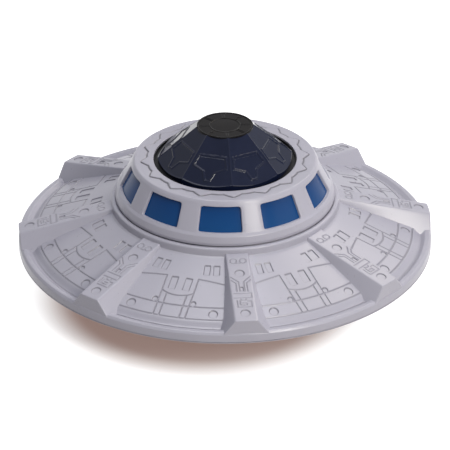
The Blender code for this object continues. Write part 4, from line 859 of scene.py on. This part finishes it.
def cap():
    """Disc on the dome: raised rim, inner circle, and double spokes every eighth of a turn.

    Spokes and circle are ridges of 0.35 that fall off straight from their middle line. The rim
    rises by 0.5, and the middle is a flat dome of 0.12 * (1 - (radius / 10)^2).
    """
    rings, sides, middle = 52, 384, 10
    radius = np.linspace(0, CAP_R - 0.35, rings)[:, None]
    turn = full_turn(sides)[None]
    off = np.abs(radius * np.sin((turn + HALF_EIGHTH) % EIGHTH - HALF_EIGHTH))
    spokes = np.clip(1 - np.abs(off - 0.75) / 0.45, 0, 1) * (radius > 11.4) * (radius < 18.6)
    circle = np.clip(1 - np.abs(radius - 10.8) / 0.55, 0, 1)
    rim = np.clip((radius - 18.7) / 0.6, 0, 1)
    swell = 0.12 * (1 - (radius / middle) ** 2) * (radius < middle)
    flat = around(radius, turn, DOME_TOP - 0.5 + 0.35 * np.maximum(spokes, circle) + 0.5 * rim
                  + swell)
    edge = [around(r, turn[0], z) for r, z in (
        (CAP_R, DOME_TOP - 0.25), (CAP_R + 0.1, DOME_TOP - 0.9), (CAP_R, CAP_FOOT - 0.6),
        (CAP_R - 3.0, CAP_FOOT - 1.6), (0.0, CAP_FOOT - 1.6))]
    points = np.concatenate([flat, edge])
    index = numbered(len(points), sides, wrap=True)
    index[0], index[-1] = index[0, 0], index[-1, 0]
    piece("dome_cap", points, [quads(index)], "turret", "smoked_plastic", CAP_FINISH, sharp=30)


def bezel():
    """Ring between the turret's mouth and the dome, sunk into real shade and coloured near
    black as painted shade of the gap there.
    """
    bore, flange, edge = DOME_R - 5.5, MOUTH_R + 4.5, MOUTH_R - 0.25
    turned("dome_ring", [
        (bore, TURRET_TOP - 3.9, 0), (flange, TURRET_TOP - 3.9, 0),
        (flange, TURRET_TOP - 2.4, 0), (edge, TURRET_TOP - 2.4, 0),
        (edge, TURRET_TOP - 0.9, 0.2), (MOUTH_R - 0.9, TURRET_TOP - 0.9, 0.2),
        (MOUTH_R - 1.0, TURRET_TOP - 2.2, 0), (bore, TURRET_TOP - 2.2, 0),
    ], "turret", "dark_plastic", finish=RING_GAP_SHADE_FINISH, replaces=["dome_bezel"])


# --- underside
def dish_openings():
    """Cuts through the dish: well, bay, wheel slots, screws, speaker holes and switch slot."""
    below = BASE - 2
    cuts = [(disc(WELL_R, 0, CARRIAGE_Y), below, FLOOR + 9), (oblong(*BAY), below, FLOOR + 2)]
    half, reach = REAR_WIDTH / 2 + 0.8, REAR_R + 1.0
    for x in (-REAR_X, REAR_X):
        cuts.append((oblong(x - half, x + half, REAR_Y - reach, REAR_Y + reach), below,
                     FLOOR + 4))
    for node in HULL_SCREWS:
        x, y, _ = middle_mm(node)
        head = box_mm(node)[0][2]
        cuts.append((disc(3.3, x, y), BASE - 3, head + 1.7))
        cuts.append((disc(1.4, x, y, 24), head, DISH_TOP + 1))
    x, y, _ = middle_mm("speaker")
    for ring, count in ((0.0, 1), (5.0, 6), (10.0, 12), (14.6, 18)):
        for turn in full_turn(count):
            hole = disc(1.1, x + ring * math.cos(turn), y + ring * math.sin(turn), 16)
            cuts.append((hole, below, FLOOR + 2))
    x, y, _ = middle_mm("switch_knob")
    cuts.append((oblong(x - 1.8, x + 1.8, y - 2.3, y + 7.3), below, FLOOR + 2))
    return cuts


def dish():
    """Smooth bowl with its openings, and the well, bay and axle cradles in it."""
    reach, depth, bend = RIM - DISH_FLAT_R, DISH_TOP - BASE, 14.0
    curve = [(0.06, 0.04), (0.26, 0.30), (0.56, 0.68), (0.86, 0.92)]
    outside = [(DISH_FLAT_R + r * reach, BASE + z * depth, bend) for r, z in curve]
    inside = [(DISH_FLAT_R + r * reach - 0.6, FLOOR + z * depth, bend) for r, z in curve[:3]]
    turned("lower_dish", [
        (0, BASE, 0), (DISH_FLAT_R, BASE, 6.0), *outside, (RIM - 0.9, HULL_FOOT - 1.2, 0.4),
        (RIM, HULL_FOOT - 0.9, 0.3), (RIM, DISH_TOP, 0), (RIM - 16.0, DISH_TOP, 0),
        *inside[::-1], (DISH_FLAT_R - 0.6, FLOOR, 0), (0, FLOOR, 0),
    ], "hull", "shell_plastic", sides=320, cuts=dish_openings(), replaces=["lower_hull"])
    wall, foot, hole = 2.0, FLOOR - 1.0, 4.5
    turned("carriage_well", [
        (WELL_R, foot, 0), (WELL_R, WELL_ROOF, 1.0), (hole, WELL_ROOF, 0),
        (hole, WELL_ROOF + wall, 0), (WELL_R + wall, WELL_ROOF + wall, 1.5),
        (WELL_R + wall, foot, 0),
    ], "hull", "shell_plastic", centre=(0, CARRIAGE_Y), sides=160)
    x0, x1, y0, y1 = BAY
    roof = box_mm("battery_1")[1][2] + 1.2
    outline = oblong(x0 - wall, x1 + wall, y0 - wall, y1 + wall)
    piece("battery_bay", *prism(outline, foot, roof + wall), "hull", "shell_plastic",
          cuts=[(oblong(*BAY), BASE - 2, roof)])
    for name, side in (("left", -1), ("right", 1)):
        near, far = sorted((side * (CRADLE_X + 0.05), side * (CRADLE_X + CRADLE)))
        outline = oblong(near, far, REAR_Y - 5, REAR_Y + 5)
        piece(f"axle_cradle_{name}", *prism(outline, foot, REAR_R + 4.5), "hull",
              "shell_plastic")


def wheels():
    """Dished hubs, and tyres with a zigzag tread."""
    for axle in ("drive", "rear"):
        for side in ("left", "right"):
            node = f"{axle}_tyre_{side}"
            (low, high), (x, y, z) = box_mm(node), middle_mm(node)
            half, radius = (high[0] - low[0]) / 2, (high[2] - low[2]) / 2
            bore, rim, out = 1.9, radius - 3.35, math.copysign(1.0, x)
            turned(f"{axle}_hub_{side}", [
                (r, x + out * share * half, bend) for r, share, bend in (
                    (bore, -1.0, 0), (rim, -0.98, 0.4), (rim, 0.96, 0.5),
                    (0.84 * rim, 0.98, 0.4), (0.77 * rim, 0.3, 0.8), (0.44 * rim, 0.3, 0.8),
                    (0.36 * rim, 0.88, 0.4), (bore, 0.88, 0.2))
            ], f"{axle}_axle", "dark_plastic", sides=96, centre=(y, z), laid=True,
                replaces=[f"{axle}_wheel_{side}"])
            tyre(f"{axle}_tread_{side}", (x, y, z), half, radius, f"{axle}_axle", node)


def tyre(name, centre, half, radius, body, replaces):
    """Ring with a tread of blocks that lean from its middle to both sides.

    With phase = turn in pitches + 0.45 |across|, a block is where phase is more than 0.18 away
    from a whole number, its edge is a smooth step 0.10 wide, and the grooves are 0.55 deep.
    """
    blocks, sides = 26, 26 * 14
    tread = np.linspace(-0.80, 0.80, 25)
    across = np.concatenate([[-1, -1, -0.95], tread, [0.95, 1, 1]])[:, None]
    out = np.concatenate([[-3.0, -1.1, -0.35], 0 * tread, [-0.35, -1.1, -3.0]])[:, None]
    turn = full_turn(sides)
    phase = (turn * blocks / (2 * np.pi) + 0.45 * np.abs(across)) % 1.0
    block = smooth(np.clip((0.5 - np.abs(phase - 0.5) - 0.13) / 0.10, 0, 1))
    r = radius + out - 0.55 * (1 - block) * (out == 0)
    points = np.stack([centre[0] + across * half + 0 * turn, centre[1] + r * np.cos(turn),
                       centre[2] + r * np.sin(turn)], -1)
    index = numbered(len(across), sides, wrap=True)
    piece(name, points, closed(index), body, "tyre_rubber", replaces=[replaces], sharp=60)


def bay_door():
    """Battery door, seen from below, with a ribbed thumb hold, a fine groove and soft edges.

    The hold is a pocket 0.9 deep, and ribs with a pitch of 2 fill 0.6 of it. The groove is
    0.3 * (1 - d^2 / 0.12) deep at a distance d from a rectangle's outline.
    """
    (x0, y0, face_z), (x1, y1, back_z) = DOOR
    x = np.linspace(x0, x1, 181)[None]
    y = np.linspace(y0, y1, 161)[:, None]
    middle = y0 + 0.24 * (y1 - y0)
    hold = to_box(x, y, -9.0, 9.0, middle - 7.0, middle + 7.0)
    wave = 0.5 + 0.5 * np.cos((y - middle) * 2 * np.pi / 2.0)
    edge = np.minimum(np.minimum(x - x0, x1 - x), np.minimum(y - y0, y1 - y))
    sink = -pocket(0.9, hold, 1.2) * (1 - 0.6 * wave * (hold < -1.0))
    sink += 0.35 * np.clip(1 - edge / 0.5, 0, 1) ** 2
    line = to_box(x, y, x0 + 4, x1 - 4, y0 + 4, y1 - 12)
    sink += 0.3 * np.clip(1 - line ** 2 / 0.12, 0, 1)
    face = np.stack([x + 0 * y, y + 0 * x, face_z + sink], -1)
    x = x[0]
    under = [np.stack([x, 0 * x + edge_y, 0 * x + back_z], -1) for edge_y in (y0, y1)]
    slab("bay_door", face, under, "hull", "shell_plastic", replaces=["battery_door"])


def carriage_plate():
    """The carriage's bottom plate, with its wheel slots, screw holes and a fine ring."""
    low, high = CARRIAGE[0][2], CARRIAGE[1][2]
    half, reach = DRIVE_WIDTH / 2 + 0.8, DRIVE_R + 0.6
    outlines = [oblong(x - half, x + half, CARRIAGE_Y - reach, CARRIAGE_Y + reach)
                for x in (-DRIVE_X, DRIVE_X)]
    outlines += [disc(1.4, *middle_mm(node)[:2], 24) for node in COVER_SCREWS]
    turned("carriage_plate", [
        (0, low, 0), (9.0, low, 0), (9.2, low + 0.4, 0), (9.9, low + 0.4, 0), (10.1, low, 0),
        (CARRIAGE_R, low, 0.5), (CARRIAGE_R, high, 0), (0, high, 0),
    ], "carriage", "dark_plastic", sides=160, centre=(0, CARRIAGE_Y),
        cuts=[(outline, low - 1, high + 1) for outline in outlines],
        replaces=["carriage_cover"])


def screws():
    """Domed heads with a cross recess, on plain shanks."""
    bar, arm, shank = 0.42, 1.55, 1.1
    for node in (*HULL_SCREWS, "door_screw", *COVER_SCREWS):
        body = "carriage" if node in COVER_SCREWS else "hull"
        low, high = box_mm(node)
        x, y, _ = middle_mm(node)
        head, z, tip = (high[0] - low[0]) / 2, low[2], high[2]
        recess = [(oblong(x - a, x + a, y - b, y + b), z - 1, z + 0.8)
                  for a, b in ((bar, arm), (arm, bar))]
        turned(f"{node}_round", [
            (0, z, 0), (0.62 * head, z + 0.05, 1.4), (head, z + 0.75, 0.5), (head, z + 1.6, 0),
            (shank, z + 1.6, 0.2), (shank, tip - 0.8, 0), (0.4, tip, 0), (0, tip, 0),
        ], body, "steel", sides=48, centre=(x, y), replaces=[node], cuts=recess)


def knob():
    """Ridged slide grip on its stem; the outline in (y, height) runs across the ridges."""
    (x0, y0, z0), (x1, y1, z1) = box_mm("switch_knob")
    top, pitch, deep, chamfer = BASE - 0.3, 1.4, 0.28, 0.4
    y = np.linspace(y0 + 0.3, y1 - 0.3, 61)
    ridge = z0 + deep * (1 - np.abs(np.cos((y - y0) * np.pi / pitch)))
    outline = [(y0, top), (y0, z0 + chamfer), *zip(y, ridge), (y1, z0 + chamfer), (y1, top)]
    points = [np.column_stack([np.full(len(outline), x), outline]) for x in (x0, x1)]
    piece("slide_grip", points, capped(numbered(2, len(outline), wrap=True)), "switch_knob",
          "dark_plastic", replaces=["switch_knob"])
    x, middle, _ = middle_mm("switch_knob")
    stem = oblong(x - 1.5, x + 1.5, middle - 2, middle + 2)
    piece("slide_stem", *prism(stem, top, z1), "switch_knob", "dark_plastic")


# --- stage
def surround():
    """White to look at; its light on the part grows from the left to the right."""
    world = Nodes(bpy.data.worlds.new("surround"), "Generated")
    bpy.context.scene.world = world.owner
    across = world.node("ShaderNodeSeparateXYZ", {}, world.place, out="X")
    right = world.node("ShaderNodeMapRange", {}, across, -SKY_REACH, SKY_REACH, 0.0, 1.0)
    lit = world.tree.nodes["Background"]
    world.fill(lit.inputs["Color"], world.blend(right, SKY_LEFT, SKY_RIGHT))
    white = world.node("ShaderNodeBackground", {}, (1.0, 1.0, 1.0, 1.0), 1.0)
    mix = world.node("ShaderNodeMixShader", {}, world.rays(), Value(world, lit.outputs[0]),
                     white)
    world.fill(world.tree.nodes["World Output"].inputs["Surface"], mix)


def studio_floor():
    """White floor that keeps the lamps' shadow, with a painted shadow below the part;
    see-through from below.

    To the camera and in reflections, its own light has the painted shadow's colour near the
    shadow's middle and turns white smoothly between the two reach distances from that middle.
    """
    floor = Finish("floor_white", Roughness=1.0, Specular_IOR_Level=0.0, Emission_Strength=1.0)
    off = [floor.node("ShaderNodeSeparateXYZ", {}, floor.place, out=axis) - middle
           for axis, middle in zip("XY", PAINTED_SHADOW_CENTRE)]
    away = (off[0] * off[0] + off[1] * off[1]).math("SQRT")
    outside_painted_shadow = floor.node("ShaderNodeMapRange", {"interpolation_type": "SMOOTHSTEP"}, away,
                            *PAINTED_SHADOW_REACH, 0.0, 1.0)
    # painted shadow: seen by the camera and in reflections, the floor's light is dark brownish
    # round a middle under the part and fades to white further out
    painted_shadow = floor.blend(outside_painted_shadow, PAINTED_SHADOW_COLOUR, (1.0, 1.0, 1.0))
    behind = floor.node("ShaderNodeNewGeometry", {}, out="Backfacing")
    floor.feed(Base_Color=floor.blend(floor.noise(2.0, 2.0), *FLOOR_TONES),
               Emission_Color=floor.blend(floor.rays(), BOUNCE, painted_shadow), Alpha=1.0 - behind)
    mesh = bpy.data.meshes.new("floor")
    mesh.from_pydata([(x, y, 0) for x, y in oblong(*FLOOR_EDGES)], [], [(0, 1, 2, 3)])
    mesh.materials.append(floor.owner)
    ground = placed("floor", mesh)


def aimed(place, target):
    """Rotation that points an object's -Z from place to target, its X level."""
    x, y, z = (t - p for t, p in zip(target, place))
    return math.atan2(math.hypot(x, y), -z), 0.0, math.atan2(-x, y)


def lamps():
    """Soft area lamps, all aimed at the part."""
    for name, size, power, colour, place in LAMPS:
        data = bpy.data.lights.new(name, "AREA")
        data.shape = "RECTANGLE"
        data.size, data.size_y = size
        data.energy, data.color = power, colour
        lamp = placed(name, data)
        lamp.location = place
        lamp.rotation_euler = aimed(place, LAMP_AIM)


def camera():
    """Camera in front of the part, a little to its left and above."""
    data = bpy.data.cameras.new("camera")
    data.sensor_width, data.lens = CAMERA_SENSOR, CAMERA_LENS
    eye = placed("camera", data)
    level = CAMERA_AWAY * math.cos(CAMERA_ABOVE)
    eye.location = (level * math.sin(CAMERA_AROUND), -level * math.cos(CAMERA_AROUND),
                    CAMERA_AIM[2] + CAMERA_AWAY * math.sin(CAMERA_ABOVE))
    eye.rotation_euler = aimed(eye.location, CAMERA_AIM)
    bpy.context.scene.camera = eye


bpy.context.scene.view_settings.view_transform = "Standard"
surround()
studio_floor()
lamps()
camera()
sectors()
ribs()
rim_and_collar()
turret()
dome()
bezel()
dish()
wheels()
bay_door()
carriage_plate()
screws()
knob()

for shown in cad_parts.values():
    for place in shown.material_slots:
        place.material = SLOTS.get(place.material.name.split(".")[0], SLOTS["dark_plastic"])
